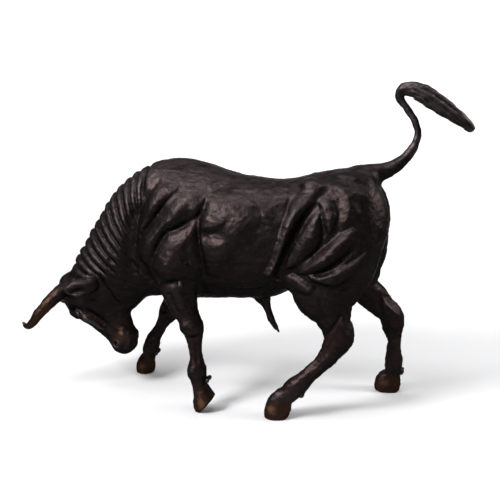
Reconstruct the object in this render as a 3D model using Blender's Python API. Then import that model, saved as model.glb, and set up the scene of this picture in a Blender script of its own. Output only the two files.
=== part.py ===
"""Life-size cast bronze fighting bull: head lowered, one forefoot pawing, tail lashed up.

The bull faces -X, its left side is towards -Y, and it stands on Z = 0 with the origin on
the ground under the middle of its body. The figure is one casting, so it is one solid.

Its form is a smooth union of swept limbs and muscles. Every row below is written in
"points", where one point is a hundredth of the height at the withers, and UNIT turns
points into metres.
"""

import math

import bmesh
import bpy
import numpy as np

# Driving dimensions, in metres
WITHERS_HEIGHT = 1.40
MESH_STEP = 0.0112

# One point of the figure's proportions
UNIT = WITHERS_HEIGHT / 100
TRIANGLE_BUDGET = 9400
FAR = 1.0e3
NEAR_SIDE = -1
FAR_SIDE = 1

# Torso, from brisket to rump: x, top, bottom, half width
TORSO = [
    (-38, 93.0, 47.0, 13.0),
    (-30, 98.0, 43.4, 18.0),
    (-18, 97.8, 43.1, 21.0),
    (-5, 94.2, 44.0, 22.8),
    (5, 92.8, 44.4, 23.0),
    (12, 92.2, 45.8, 22.0),
    (20, 93.3, 49.8, 20.0),
    (28, 95.5, 55.0, 18.5),
    (40, 97.2, 58.0, 17.0),
    (46, 97.2, 60.0, 14.5),
]
CHEST_END = 10.0
RUMP_END = 6.4

# Neck: crest x, crest z, throat x, throat z, half width
NECK = [
    (-76.3, 52.6, -53.2, 34.6, 8.4),
    (-73.3, 60.4, -48.8, 37.4, 10.2),
    (-67.3, 68.1, -45.8, 40.5, 12.0),
    (-60.4, 76.8, -42.2, 43.2, 13.8),
    (-52.4, 85.3, -37.6, 44.8, 15.2),
    (-45.2, 93.1, -32.0, 45.2, 16.4),
    (-37.4, 98.8, -26.0, 45.4, 17.6),
]

# Head: forehead line x, z, jaw line x, z, half width
HEAD = [
    (-83.2, 39.0, -71.4, 47.6, 6.4),
    (-79.8, 33.8, -64.0, 46.8, 7.8),
    (-75.2, 30.6, -59.4, 44.4, 7.6),
    (-71.0, 28.0, -56.4, 40.8, 6.6),
    (-66.8, 24.6, -54.0, 35.4, 5.5),
    (-62.8, 21.2, -52.3, 30.2, 4.8),
    (-59.9, 17.8, -50.9, 25.2, 4.9),
    (-58.9, 16.8, -53.2, 21.6, 4.4),
]

# Legs and tail: x, z, y, half depth in the side view, half width across
FORELEG_NEAR = [
    (-28.0, 78.0, -11.5, 12.5, 7.5),
    (-28.6, 65.0, -13.6, 11.6, 7.6),
    (-26.6, 55.0, -15.4, 9.2, 6.4),
    (-24.5, 46.5, -16.4, 6.5, 5.2),
    (-23.1, 41.8, -16.8, 5.4, 4.5),
    (-21.2, 38.2, -17.0, 4.5, 4.0),
    (-20.0, 34.4, -17.2, 4.8, 4.3),
    (-19.1, 30.6, -17.3, 3.5, 3.4),
    (-18.8, 26.1, -17.5, 2.7, 2.7),
    (-18.1, 22.1, -17.6, 2.6, 2.6),
    (-18.1, 16.7, -17.8, 3.9, 3.5),
    (-17.7, 13.8, -17.9, 3.3, 3.2),
    (-16.8, 10.4, -18.0, 2.9, 3.0),
]
FORELEG_FAR = [
    (-28.0, 78.0, 11.5, 12.5, 7.5),
    (-30.6, 65.0, 13.6, 11.6, 7.6),
    (-32.4, 55.0, 15.6, 9.2, 6.4),
    (-34.4, 46.5, 16.6, 6.8, 5.2),
    (-36.7, 39.0, 17.2, 5.4, 4.4),
    (-38.8, 34.0, 17.6, 4.6, 4.2),
    (-40.8, 30.2, 17.9, 4.7, 4.2),
    (-43.0, 26.4, 18.3, 3.3, 3.3),
    (-45.6, 21.8, 18.7, 2.7, 2.7),
    (-48.4, 17.4, 19.1, 3.1, 2.7),
    (-50.0, 13.4, 19.4, 3.7, 3.4),
    (-51.2, 10.2, 19.6, 3.2, 3.1),
    (-51.7, 7.4, 19.8, 3.0, 3.0),
]
HINDLEG_NEAR = [
    (40.0, 84.0, -8.5, 12.0, 8.0),
    (38.5, 74.0, -10.6, 15.3, 8.8),
    (36.0, 64.0, -12.6, 15.8, 8.8),
    (33.2, 56.6, -14.0, 14.4, 7.6),
    (31.9, 50.8, -14.6, 11.8, 6.5),
    (34.9, 45.0, -15.0, 7.9, 5.4),
    (35.7, 41.8, -15.0, 7.1, 4.9),
    (36.8, 38.8, -15.0, 6.3, 4.4),
    (37.8, 35.6, -15.0, 6.1, 4.1),
    (37.8, 32.4, -15.1, 5.6, 4.2),
    (36.0, 28.8, -15.4, 4.5, 3.8),
    (33.5, 24.8, -15.9, 3.7, 3.2),
    (29.8, 20.8, -16.5, 3.2, 2.8),
    (25.9, 16.9, -17.1, 3.3, 2.9),
    (22.1, 13.1, -17.6, 4.1, 3.6),
    (19.1, 10.0, -17.9, 3.7, 3.3),
    (16.7, 7.9, -18.1, 3.8, 3.2),
]
HINDLEG_FAR = [
    (40.0, 84.0, 8.5, 12.0, 8.0),
    (39.8, 74.0, 10.8, 14.5, 8.8),
    (40.3, 64.0, 12.8, 14.1, 8.8),
    (42.0, 55.8, 14.4, 10.3, 7.6),
    (44.1, 47.8, 15.2, 6.7, 6.3),
    (49.4, 42.0, 15.7, 6.1, 4.9),
    (53.2, 38.4, 16.0, 5.2, 4.3),
    (56.2, 35.6, 16.3, 5.0, 4.1),
    (57.5, 32.2, 16.6, 4.9, 4.0),
    (57.7, 28.2, 17.1, 4.1, 3.4),
    (58.3, 22.6, 17.8, 3.0, 2.8),
    (58.4, 17.8, 18.4, 3.2, 2.9),
    (58.6, 13.2, 19.0, 3.8, 3.4),
    (58.3, 9.8, 19.4, 3.4, 3.1),
    (58.0, 7.2, 19.7, 3.4, 3.1),
]
TAIL = [
    (43.5, 92.9, 0, 4.8, 5.4),
    (50.0, 95.4, 0, 3.7, 3.7),
    (54.1, 96.8, 0, 3.0, 2.9),
    (57.3, 98.7, 0, 2.5, 2.4),
    (60.4, 101.5, 0, 2.05, 2.0),
    (62.8, 104.6, 0, 1.75, 1.7),
    (64.2, 107.6, 0, 1.5, 1.45),
    (64.6, 110.6, 0, 1.35, 1.3),
    (64.0, 113.6, 0, 1.35, 1.3),
    (62.4, 116.8, 0, 1.35, 1.3),
    (60.1, 120.0, 0, 1.35, 1.3),
    (57.7, 123.1, 0, 1.5, 1.45),
    (57.3, 125.5, 0, 1.7, 1.65),
    (58.9, 127.4, 0, 2.0, 2.0),
]
TUFT = [
    (58.8, 127.2, 0, 2.1, 2.1),
    (62.4, 126.8, 0, 3.0, 2.8),
    (66.4, 125.0, 0, 3.5, 3.2),
    (71.3, 121.9, 0, 3.4, 3.1),
    (75.9, 118.8, 0, 3.0, 2.7),
    (80.0, 115.9, 0, 2.4, 2.1),
    (83.5, 112.9, 0, 1.8, 1.5),
]
HORN = [
    (-76.2, 45.8, 6.0, 3.2, 3.2),
    (-78.2, 44.6, 11.0, 3.0, 3.0),
    (-81.0, 41.4, 15.2, 2.7, 2.7),
    (-84.6, 37.2, 17.8, 2.3, 2.3),
    (-87.9, 33.0, 18.4, 1.85, 1.85),
    (-90.2, 30.8, 18.0, 1.45, 1.45),
    (-91.9, 30.5, 17.3, 1.0, 1.0),
    (-93.2, 31.4, 16.8, 0.6, 0.6),
]
FAR_HORN_LIFT = 1.8
EAR = [
    (-63.2, 49.4, 7.6, 2.6, 2.6),
    (-65.2, 48.6, 10.8, 3.8, 2.4),
    (-68.0, 47.6, 13.4, 4.0, 2.0),
    (-70.8, 46.8, 15.0, 3.1, 1.5),
    (-73.0, 46.7, 15.8, 1.7, 0.9),
    (-74.2, 46.9, 16.2, 0.5, 0.4),
]
SHEATH = [
    (4.2, 45.6, 0, 4.0, 3.2),
    (6.2, 42.2, 0, 2.4, 2.1),
    (7.5, 38.6, 0, 1.5, 1.5),
    (8.8, 34.8, 0, 1.5, 1.4),
    (10.6, 31.6, 0, 1.0, 0.9),
    (12.0, 29.6, 0, 0.6, 0.5),
]

# Hooves: coronet x, z and half depth, widest x, z and half depth, toe x, z, heel x, z, centre y
HOOVES = {
    "near_fore": (-16.2, 9.0, 3.4, -15.2, 6.2, 4.2, -17.6, -1.6, -10.0, 7.2, -18.2),
    "far_fore": (-52.4, 6.6, 3.5, -53.3, 3.2, 4.5, -57.6, -0.5, -49.8, -0.5, 20.0),
    "near_hind": (16.6, 7.8, 4.2, 15.2, 4.6, 5.3, 9.4, -0.5, 18.6, -0.5, -18.3),
    "far_hind": (57.9, 7.0, 3.7, 56.3, 3.4, 5.6, 51.0, -0.5, 61.2, -0.5, 20.0),
}
HOOF_HALF_WIDTH = 3.9
CORONET_HALF_WIDTH = 3.2
CLEFT_DEPTH = 0.9
CLEFT_HALF_WIDTH = 0.45

# Dewclaws behind the fetlocks: x, z, y, and how far each stands aside
DEWCLAWS = [
    (-13.4, 13.4, -17.8, 1.7),
    (-47.4, 10.2, 19.4, 1.7),
    (24.6, 10.4, -17.7, 1.7),
    (62.0, 9.4, 19.2, 1.7),
]

# Bones and muscles on both sides: x, z, y, half sizes along x, z and y, turn, blend
KNOBS = [
    (27.0, 90.7, 11.0, 4.8, 3.4, 4.0, -20, 2.5),
    (18.4, 54.4, 11.5, 6.2, 3.6, 3.4, -42, 2.5),
    (49.9, 77.2, 7.0, 5.0, 11.2, 5.0, 0, 4.0),
    (-65.0, 39.6, 4.4, 7.0, 5.4, 4.2, -52, 2.0),
    (-75.0, 34.0, 4.8, 3.4, 2.3, 2.8, -40, 1.0),
    (-73.4, 34.2, 6.6, 1.5, 1.2, 1.3, -45, 0.4),
    (-57.2, 20.0, 2.2, 3.0, 2.8, 3.2, -50, 1.2),
    (-75.2, 44.4, 6.2, 3.4, 3.2, 3.2, 0, 2.0),
    (-64.4, 45.8, 7.2, 2.2, 1.8, 2.6, -30, 1.2),
    (-64.4, 40.6, 6.7, 1.8, 1.4, 2.2, -40, 1.2),
]
# Bones and muscles on the middle line, written the same way
MIDDLES = [
    (-78.5, 42.6, 0.0, 3.6, 3.6, 5.4, -50, 2.0),
    (-51.9, 24.2, 0.0, 2.6, 3.0, 3.4, -50, 1.4),
    (-40.0, 50.0, 0.0, 7.0, 7.6, 6.0, -40, 4.0),
    (36.0, 53.0, 0.0, 4.4, 6.4, 4.6, 0, 2.0),
]
# Hollows cut on both sides, written the same way
HOLLOWS = [
    (-57.4, 21.2, 4.8, 1.4, 0.8, 1.2, -60, 0.5),
    (-67.4, 46.2, 16.8, 5.0, 1.7, 2.4, 8, 1.0),
]

# Muscles on both sides: height, width of the rounded edge, softness of its rim, then the
# x, z points of the outline
MUSCLES = [
    (2.1, 3.8, 1.2, [
        (-32.7, 94.0), (-26.5, 95.6), (-21.0, 94.4), (-26.2, 87.8), (-29.8, 83.6), (-32.9, 79.1),
        (-36.4, 74.7), (-40.2, 71.2), (-41.8, 73.0), (-41.3, 78.7), (-39.3, 83.2), (-36.9, 87.5),
    ]),
    (2.5, 5.0, 1.2, [
        (-19.4, 93.5), (-24.2, 88.0), (-28.3, 83.0), (-31.5, 78.5), (-35.2, 74.1), (-39.8, 70.4),
        (-42.6, 65.3), (-42.0, 60.3), (-38.7, 58.6), (-35.5, 61.0), (-33.6, 65.2), (-31.2, 69.5),
        (-28.5, 72.9), (-24.4, 74.4), (-19.3, 77.6), (-15.0, 80.4), (-13.4, 86.2), (-14.6, 93.0),
    ]),
    (2.9, 8.0, 1.0, [
        (-28.1, 72.6), (-24.0, 74.3), (-19.6, 76.4), (-16.9, 75.6), (-15.8, 71.6), (-14.9, 66.2),
        (-14.4, 58.8), (-16.7, 53.6), (-21.3, 54.6), (-26.4, 53.4), (-31.6, 54.4), (-35.2, 58.3),
        (-34.5, 61.4), (-32.9, 65.0), (-30.5, 69.3),
    ]),
    (1.5, 9.0, 1.4, [
        (-15.5, 88.0), (-6.9, 92.5), (1.3, 92.5), (6.0, 86.5), (9.0, 80.0), (6.5, 73.0),
        (1.0, 65.0), (-4.0, 57.0), (-14.0, 56.0), (-15.6, 68.0),
    ]),
    (1.1, 2.8, 1.0, [
        (-15.6, 77.6), (-12.9, 80.6), (-8.7, 80.2), (-4.6, 77.8), (-8.6, 74.1), (-14.1, 73.9),
    ]),
    (0.8, 4.0, 1.2, [
        (-15.3, 70.9), (-9.6, 71.7), (-3.7, 70.6), (-0.5, 66.3), (-5.7, 60.6), (-13.6, 60.3),
        (-14.6, 65.7),
    ]),
    (2.3, 3.8, 1.5, [
        (26.0, 98.0), (21.5, 90.5), (18.0, 83.5), (15.9, 77.2), (14.5, 71.1), (12.0, 63.4),
        (8.9, 57.9), (13.6, 56.4), (17.1, 64.0), (20.0, 70.8), (22.6, 76.6), (25.8, 81.6),
        (29.2, 85.8), (32.4, 89.4), (34.6, 96.5),
    ]),
]
# Muscles of the thigh, drawn on the near leg and swung back on the far one
THIGH_MUSCLES = [
    (1.9, 4.6, 1.3, [
        (30.4, 84.0), (26.0, 80.6), (23.4, 75.6), (20.9, 70.6), (18.6, 65.0), (17.0, 60.2),
        (22.6, 60.6), (28.6, 66.3), (31.8, 72.0), (32.6, 77.4), (32.0, 82.2),
    ]),
    (1.5, 2.6, 1.3, [
        (28.8, 86.6), (32.0, 88.6), (35.2, 86.6), (37.2, 82.0), (36.6, 77.2), (33.9, 74.0),
        (31.4, 78.0), (30.2, 82.3),
    ]),
    (1.4, 5.4, 1.3, [
        (36.6, 89.4), (39.6, 91.2), (43.8, 89.6), (45.4, 83.2), (42.4, 77.8), (38.4, 75.0),
        (37.0, 78.0), (37.6, 83.0),
    ]),
    (2.0, 3.8, 1.3, [
        (43.4, 77.2), (40.6, 76.6), (37.2, 74.2), (33.4, 70.6), (29.2, 67.0), (24.2, 63.0),
        (21.2, 58.4), (27.1, 58.4), (33.2, 60.6), (38.0, 64.0), (41.6, 68.0), (43.8, 73.0),
    ]),
    (1.5, 2.2, 1.1, [
        (47.8, 68.2), (45.2, 66.2), (41.7, 64.0), (36.7, 61.4), (31.7, 59.3), (28.1, 59.4), (26.3, 58.1),
        (29.4, 56.0), (35.4, 54.6), (40.2, 56.3), (44.0, 59.6),
    ]),
    (1.4, 2.6, 1.2, [
        (12.9, 55.6), (15.6, 57.6), (20.7, 58.6), (25.1, 56.4), (29.4, 54.2), (27.0, 50.6),
        (21.0, 51.6), (16.2, 52.9),
    ]),
]

# Carved lines on both sides: height, half width left and right of the line, then x, z points
BODY_LINES = [
    (-0.9, 1.2, 1.0, [
        (-34.5, 91.3), (-37.4, 87.3), (-40.3, 83.0), (-42.2, 78.5), (-43.2, 72.4), (-44.0, 66.2),
        (-44.6, 61.0),
    ]),
    (-2.2, 4.6, 3.0, [(-41.0, 85.0), (-43.6, 77.0), (-45.0, 69.0), (-46.4, 60.0), (-46.0, 52.0)]),
    (-0.9, 1.0, 1.5, [
        (-28.4, 85.0), (-30.9, 81.8), (-33.4, 78.4), (-36.6, 74.4), (-40.4, 70.8),
    ]),
    (-0.6, 1.1, 1.1, [
        (-13.5, 81.8), (-17.0, 79.0), (-19.1, 77.5), (-24.2, 74.3), (-28.4, 72.7), (-30.9, 69.4),
        (-33.3, 65.1), (-35.4, 60.0),
    ]),
    (-0.8, 1.5, 1.2, [
        (-10.2, 89.3), (-14.4, 82.5), (-15.8, 78.0), (-15.9, 70.5), (-14.6, 64.0), (-14.2, 56.3),
        (-17.0, 51.6),
    ]),
    (0.4, 0.7, 0.7, [(-14.4, 77.4), (-14.3, 71.0), (-13.2, 64.6)]),
    (-0.9, 3.0, 3.0, [(-12.5, 92.5), (-18.0, 84.5), (-21.0, 78.5)]),
    (-1.0, 1.0, 1.6, [(-33.5, 49.4), (-30.1, 52.0), (-26.3, 53.4), (-22.8, 54.2)]),
    (-0.5, 1.6, 1.6, [(-20.6, 72.5), (-20.0, 66.0), (-19.0, 58.5)]),
    (0.9, 1.3, 1.3, [(-24.2, 52.4), (-22.0, 53.0)]),
    (0.7, 1.5, 1.5, [(-19.5, 56.0), (-17.2, 51.5)]),
    (-0.6, 1.4, 1.4, [(-11.5, 88.7), (-6.3, 91.1), (-1.2, 92.4), (6.0, 92.0)]),
    (-0.6, 1.8, 2.4, [(-14.4, 73.0), (-9.0, 73.4), (-4.0, 73.0)]),
    (-0.3, 3.0, 4.0, [(-14.0, 61.8), (-4.0, 60.5), (6.0, 59.0)]),
    (-1.5, 1.0, 2.8, [(-15.0, 51.4), (-4.0, 50.8), (5.0, 50.9), (11.5, 53.0)]),
    (-0.9, 1.2, 2.0, [
        (28.6, 83.8), (26.0, 80.2), (23.0, 75.4), (20.2, 70.0), (17.4, 64.2), (14.8, 57.6),
    ]),
    (-0.5, 1.0, 1.0, [(17.8, 91.5), (18.4, 85.5), (17.4, 80.5)]),
    (-0.7, 1.0, 2.2, [(29.0, 95.2), (34.0, 94.6), (40.0, 93.4), (46.0, 91.8)]),
    (0.7, 1.3, 1.8, [(28.5, 92.4), (34.0, 91.8), (40.0, 90.4), (46.0, 88.0)]),
    (-0.8, 1.0, 1.4, [(-47.5, 60.0), (-45.0, 56.5), (-44.0, 53.0)]),
    (-0.8, 0.9, 1.2, [(-41.0, 55.0), (-38.0, 51.5), (-35.5, 48.5)]),
    (-1.3, 1.5, 1.5, [(-61.0, 51.0), (-58.5, 45.5), (-56.0, 40.5), (-55.0, 35.5)]),
    (1.5, 1.0, 1.3, [(-72.4, 33.6), (-69.4, 32.2), (-65.6, 29.9), (-61.0, 26.2)]),
    (-1.3, 1.4, 1.4, [(-70.8, 36.4), (-66.4, 34.2), (-62.0, 30.4), (-58.6, 26.4)]),
    (-0.6, 0.8, 0.8, [(-77.4, 36.6), (-75.4, 36.4), (-73.2, 36.6), (-71.2, 35.2)]),
    (-0.9, 0.6, 0.6, [(-55.4, 17.4), (-53.6, 20.2), (-52.8, 23.6), (-53.8, 27.6)]),
    (0.7, 0.7, 0.7, [(-52.6, 19.8), (-51.8, 22.6), (-52.4, 26.8)]),
    (0.8, 1.2, 1.2, [(-57.4, 27.4), (-55.0, 28.2), (-53.8, 26.2)]),
]

# Lines of the thigh and hind leg, swung back on the far leg like its muscles
THIGH_LINES = [
    (-0.5, 0.9, 0.9, [(30.4, 83.6), (31.2, 79.0), (31.8, 74.0), (30.8, 69.0)]),
    (-0.7, 1.5, 1.1, [(39.4, 77.6), (36.4, 74.4), (32.9, 70.7), (28.6, 66.8), (23.8, 62.9)]),
    (-0.8, 1.1, 1.3, [(44.9, 70.9), (41.0, 67.2), (37.2, 63.4), (32.8, 60.5), (27.4, 59.0)]),
    (-0.8, 1.2, 1.8, [(25.4, 55.8), (29.4, 54.8), (35.4, 53.4), (40.4, 55.0), (45.0, 58.6)]),
    (-0.9, 0.8, 0.8, [(39.4, 44.5), (37.4, 40.5), (34.4, 35.4)]),
    (0.8, 0.9, 0.9, [(39.2, 41.6), (41.0, 37.6), (43.0, 34.8)]),
    (-0.6, 0.9, 0.9, [(41.2, 44.0), (42.6, 39.4)]),
    (-0.6, 1.0, 1.0, [(30.6, 50.0), (32.4, 44.5), (34.4, 40.0)]),
    (-0.6, 0.8, 0.8, [(36.0, 33.0), (34.0, 29.0), (31.0, 25.0), (27.0, 20.5)]),
]

# Lines of the foreleg, drawn on the near leg and swung forward on the far one
FORELEG_LINES = [
    (-0.7, 1.0, 1.0, [(-28.6, 50.0), (-26.0, 44.0), (-23.4, 39.0)]),
    (0.6, 1.4, 1.4, [(-24.0, 52.0), (-23.0, 46.0), (-21.4, 41.0)]),
    (0.7, 1.4, 1.4, [(-23.6, 35.4), (-20.6, 36.2), (-18.0, 35.2)]),
    (-0.6, 0.9, 0.9, [(-24.0, 31.8), (-20.6, 31.0), (-16.8, 31.6)]),
    (-0.6, 0.8, 0.8, [(-18.0, 30.0), (-17.6, 25.0), (-17.2, 20.0)]),
    (0.5, 1.4, 1.4, [(-20.4, 17.6), (-17.6, 18.0)]),
]

# Muscles of the shoulder and hip fade out towards the back between these heights
MUSCLE_FADE = (83.0, 94.5)

# Folds of the neck
FOLD_COUNT = 13
FOLD_DEPTH = 2.1
FOLD_SPACE = 5.4
FOLD_ROUNDNESS = 2.6
CREST = [
    (-41.5, 97.4), (-46.5, 94.8), (-51.6, 90.2), (-55.7, 86.4), (-59.1, 83.1),
    (-63.4, 77.6), (-66.4, 72.1), (-70.1, 67.1), (-73.3, 60.9), (-75.9, 55.2),
]
FOLD_ENDS = [
    (-40.6, 80.2), (-41.1, 77.8), (-41.8, 75.2), (-43.0, 72.6), (-44.6, 69.8), (-45.6, 66.6),
    (-46.4, 63.0), (-47.4, 59.0), (-49.6, 54.4), (-53.6, 50.4), (-61.0, 49.6),
]
FOLD_SAG = 0.4


def smooth_min(a, b, blend):
    """The lesser of two distances, rounded where they are within blend of each other."""
    share = np.maximum(blend - np.abs(a - b), 0) / blend
    return np.minimum(a, b) - share * share * blend * 0.25


def smooth_max(a, b, blend):
    return -smooth_min(-a, -b, blend)


def through(rows, steps):
    """A Catmull-Rom curve through the rows, with the given steps in each span."""
    rows = np.array(rows, float)
    padded = np.vstack([2 * rows[0] - rows[1], rows, 2 * rows[-1] - rows[-2]])
    share = np.linspace(0, 1, steps, endpoint=False)[:, None]
    curve = []
    for a, b, c, d in zip(padded, padded[1:], padded[2:], padded[3:]):
        bend = (2 * a - 5 * b + 4 * c - d) * share**2
        twist = (3 * b - a - 3 * c + d) * share**3
        curve.append(b + 0.5 * ((c - a) * share + bend + twist))
    return np.vstack([*curve, rows[-1:]])


class Sweep:
    """A limb: an ellipse whose centre and two half axes follow a curve."""

    def __init__(self, rows, steps=4):
        curve = through(rows, steps)
        self.centre = curve[:, [0, 2, 1]]
        self.half = np.maximum(curve[:, 3:5], 0.05)

    def bounds(self):
        reach = self.half.max(axis=1)[:, None]
        return (self.centre - reach).min(axis=0), (self.centre + reach).max(axis=0)

    def distance(self, points):
        nearest = np.full(len(points), FAR, np.float32)
        centre = self.centre.astype(np.float32)
        half = self.half.astype(np.float32)
        for start, end, size, grown in zip(centre, centre[1:], half, half[1:]):
            axis = end - start
            offset = points - start
            share = np.clip(offset @ axis / (axis @ axis), 0, 1)[:, None]
            offset -= share * axis
            size = size + share * (grown - size)
            reach = np.einsum("ij,ij->i", offset, offset)
            across = offset[:, 1] ** 2
            ratio = (reach - across) / size[:, 0] ** 2 + across / size[:, 1] ** 2
            ratio = np.sqrt(np.maximum(ratio, 1e-6))
            reach = np.sqrt(reach)
            found = np.where(ratio < 2e-3, -size.min(axis=1), reach - reach / ratio)
            np.minimum(nearest, found, out=nearest)
        return nearest


def between(rows):
    """Sweep rows from pairs of outline points: x, z of one edge, x, z of the other, half width."""
    swept = []
    for x, z, other_x, other_z, width in rows:
        depth = math.hypot(other_x - x, other_z - z) / 2
        swept.append(((x + other_x) / 2, (z + other_z) / 2, 0, depth, width))
    return swept


class Torso:
    """The barrel: a superellipse whose top, bottom and width follow the length."""

    SQUARENESS = 2.25

    def __init__(self, rows, steps=4):
        curve = through(rows, steps)
        self.x, self.top, self.bottom, self.width = curve.T

    def bounds(self):
        reach = self.width.max()
        low = (self.x[0] - reach, -reach, self.bottom.min())
        return np.array(low), np.array((self.x[-1] + reach, reach, self.top.max()))

    def distance(self, points):
        x = np.clip(points[:, 0], self.x[0], self.x[-1])
        top, bottom, width = (
            np.interp(x, self.x, row) for row in (self.top, self.bottom, self.width)
        )
        middle = (top + bottom) / 2
        height = (top - bottom) / 2
        beyond = points[:, 0] - x
        beyond = beyond / np.where(beyond < 0, CHEST_END, RUMP_END)
        side = np.abs(points[:, 1]) / width
        rise = np.abs(points[:, 2] - middle) / height
        power = self.SQUARENESS
        ratio = (side**power + rise**power + np.abs(beyond) ** power) ** (1 / power)
        ratio = np.maximum(ratio, 1e-3)
        reach = np.sqrt(
            (points[:, 0] - x) ** 2 + points[:, 1] ** 2 + (points[:, 2] - middle) ** 2
        )
        return np.where(ratio < 5e-3, -width, reach - reach / ratio)


class Hoof:
    """A cloven hoof: it swells below the coronet and is cut by the plane of its sole."""

    def __init__(self, x, z, depth, wide_x, wide_z, swell, toe_x, toe_z, heel_x, heel_z, y):
        toe = np.array((toe_x, y, toe_z))
        heel = np.array((heel_x, y, heel_z))
        along = heel - toe
        length = np.linalg.norm(along)
        along /= length
        self.down = np.array((along[2], 0, -along[0]))
        if self.down @ (np.array((x, y, z)) - toe) > 0:
            self.down = -self.down
        self.toe = toe
        self.y = y
        middle = (toe + heel) / 2
        below = middle + self.down * 2.5
        self.sweep = Sweep(
            [
                (x, z, y, depth, CORONET_HALF_WIDTH),
                (wide_x, wide_z, y, swell, HOOF_HALF_WIDTH),
                (middle[0], middle[2], y, length / 2, HOOF_HALF_WIDTH),
                (below[0], below[2], y, length / 2, HOOF_HALF_WIDTH),
            ],
            3,
        )

    def bounds(self):
        return self.sweep.bounds()

    def distance(self, points):
        cone = self.sweep.distance(points)
        aside = (points[:, 1] - self.y) / CLEFT_HALF_WIDTH
        cone += CLEFT_DEPTH * np.exp(-(aside**2))
        return smooth_max(cone, (points - self.toe) @ self.down, 1.5)


class Ball:
    """An ellipsoid: centre x, z, y and half sizes along x, z and y, turned in the side view."""

    def __init__(self, centre, half, turn=0.0):
        self.centre = np.array((centre[0], centre[2], centre[1]), float)
        self.half = half
        self.turn = math.radians(turn)

    def bounds(self):
        reach = max(self.half)
        return self.centre - reach, self.centre + reach

    def distance(self, points):
        offset = points - self.centre
        cos, sin = math.cos(self.turn), math.sin(self.turn)
        along = offset[:, 0] * cos + offset[:, 2] * sin
        rise = offset[:, 2] * cos - offset[:, 0] * sin
        long, tall, wide = self.half
        ratio = np.sqrt((along / long) ** 2 + (rise / tall) ** 2 + (offset[:, 1] / wide) ** 2)
        ratio = np.maximum(ratio, 1e-3)
        reach = np.sqrt(np.einsum("ij,ij->i", offset, offset))
        return np.where(ratio < 5e-3, -min(self.half), reach - reach / ratio)


def mirrored(rows):
    """The same rows on the near side: y turned over."""
    return [(x, z, -y, *rest) for x, z, y, *rest in rows]


def lifted(rows, lift):
    """The same rows raised from the third row on, with half the lift at the second."""
    return [(x, z + min(i, 2) / 2 * lift, *rest) for i, (x, z, *rest) in enumerate(rows)]


def masses():
    """Every mass of the figure with the width of its blend into the rest."""
    yield Torso(TORSO), 1.0
    yield Sweep(between(NECK)), 5.0
    yield Sweep(between(HEAD)), 2.5
    for rows in (FORELEG_NEAR, FORELEG_FAR):
        yield Sweep(rows), 3.0
    for rows in (HINDLEG_NEAR, HINDLEG_FAR):
        yield Sweep(rows), 3.5
    for rows in (mirrored(HORN), lifted(HORN, FAR_HORN_LIFT)):
        yield Sweep(rows), 1.2
    for rows in (mirrored(EAR), EAR):
        yield Sweep(rows), 0.8
    yield Sweep(TAIL), 3.6
    yield Sweep(TUFT), 0.8
    yield Sweep(SHEATH), 1.6
    for row in HOOVES.values():
        yield Hoof(*row), 0.5
    for x, z, y, aside in DEWCLAWS:
        for side in (-aside, aside):
            yield Ball((x, z, y + side), (1.0, 1.3, 0.9), -30), 0.6
    for x, z, y, *half, turn, blend in MIDDLES:
        yield Ball((x, z, y), half, turn), blend
    for x, z, y, *half, turn, blend in KNOBS:
        for side in (NEAR_SIDE, FAR_SIDE):
            yield Ball((x, z, y * side), half, turn), blend


def hollows():
    for x, z, y, *half, turn, blend in HOLLOWS:
        for side in (NEAR_SIDE, FAR_SIDE):
            yield Ball((x, z, y * side), half, turn), blend


class Line:
    """A carved line in the side view: a ridge if its height is positive, else a groove."""

    END_TAPER = 0.22

    def __init__(self, height, left, right, line, steps=4):
        self.height = height
        self.widths = (left, right)
        self.curve = through(line, steps).astype(np.float32)
        lengths = np.linalg.norm(np.diff(self.curve, axis=0), axis=1)
        self.along = np.concatenate([[0], np.cumsum(lengths)]) / lengths.sum()

    def bounds(self):
        reach = 2.4 * max(self.widths)
        low, high = self.curve.min(axis=0) - reach, self.curve.max(axis=0) + reach
        return (low[0], -FAR, low[1]), (high[0], FAR, high[1])

    def rise(self, x, z):
        """How far the line lifts the surface at each x and z of the side view."""
        nearest = np.full(len(x), FAR, np.float32)
        share = np.zeros(len(x), np.float32)
        side = np.zeros(len(x), np.float32)
        spans = zip(self.curve, self.curve[1:], self.along, self.along[1:])
        for start, end, first, last in spans:
            run, climb = end - start
            dx, dz = x - start[0], z - start[1]
            part = np.clip((dx * run + dz * climb) / (run * run + climb * climb), 0, 1)
            off = np.hypot(dx - part * run, dz - part * climb)
            closer = off < nearest
            nearest = np.where(closer, off, nearest)
            share = np.where(closer, first + part * (last - first), share)
            across = (run * dz - climb * dx) / math.hypot(run, climb)
            side = np.where(closer, across / np.maximum(off, 1e-4), side)
        left, right = self.widths
        width = (left + right) / 2 + (left - right) / 2 * np.clip(side, -1, 1)
        taper = np.clip(np.minimum(share, 1 - share) / self.END_TAPER, 0, 1)
        taper = 0.35 + 0.65 * taper * taper * (3 - 2 * taper)
        return self.height * taper * np.exp(-((nearest / width) ** 2))


def nearest_on(curve, along, x, z):
    """Distance to the curve and the share of its length at the nearest spot."""
    nearest = np.full(len(x), FAR, np.float32)
    share = np.zeros(len(x), np.float32)
    for start, end, first, last in zip(curve, curve[1:], along, along[1:]):
        run, climb = end - start
        dx, dz = x - start[0], z - start[1]
        part = np.clip((dx * run + dz * climb) / (run * run + climb * climb), 0, 1)
        off = np.hypot(dx - part * run, dz - part * climb)
        closer = off < nearest
        nearest = np.where(closer, off, nearest)
        share = np.where(closer, first + part * (last - first), share)
    return nearest, share


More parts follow.
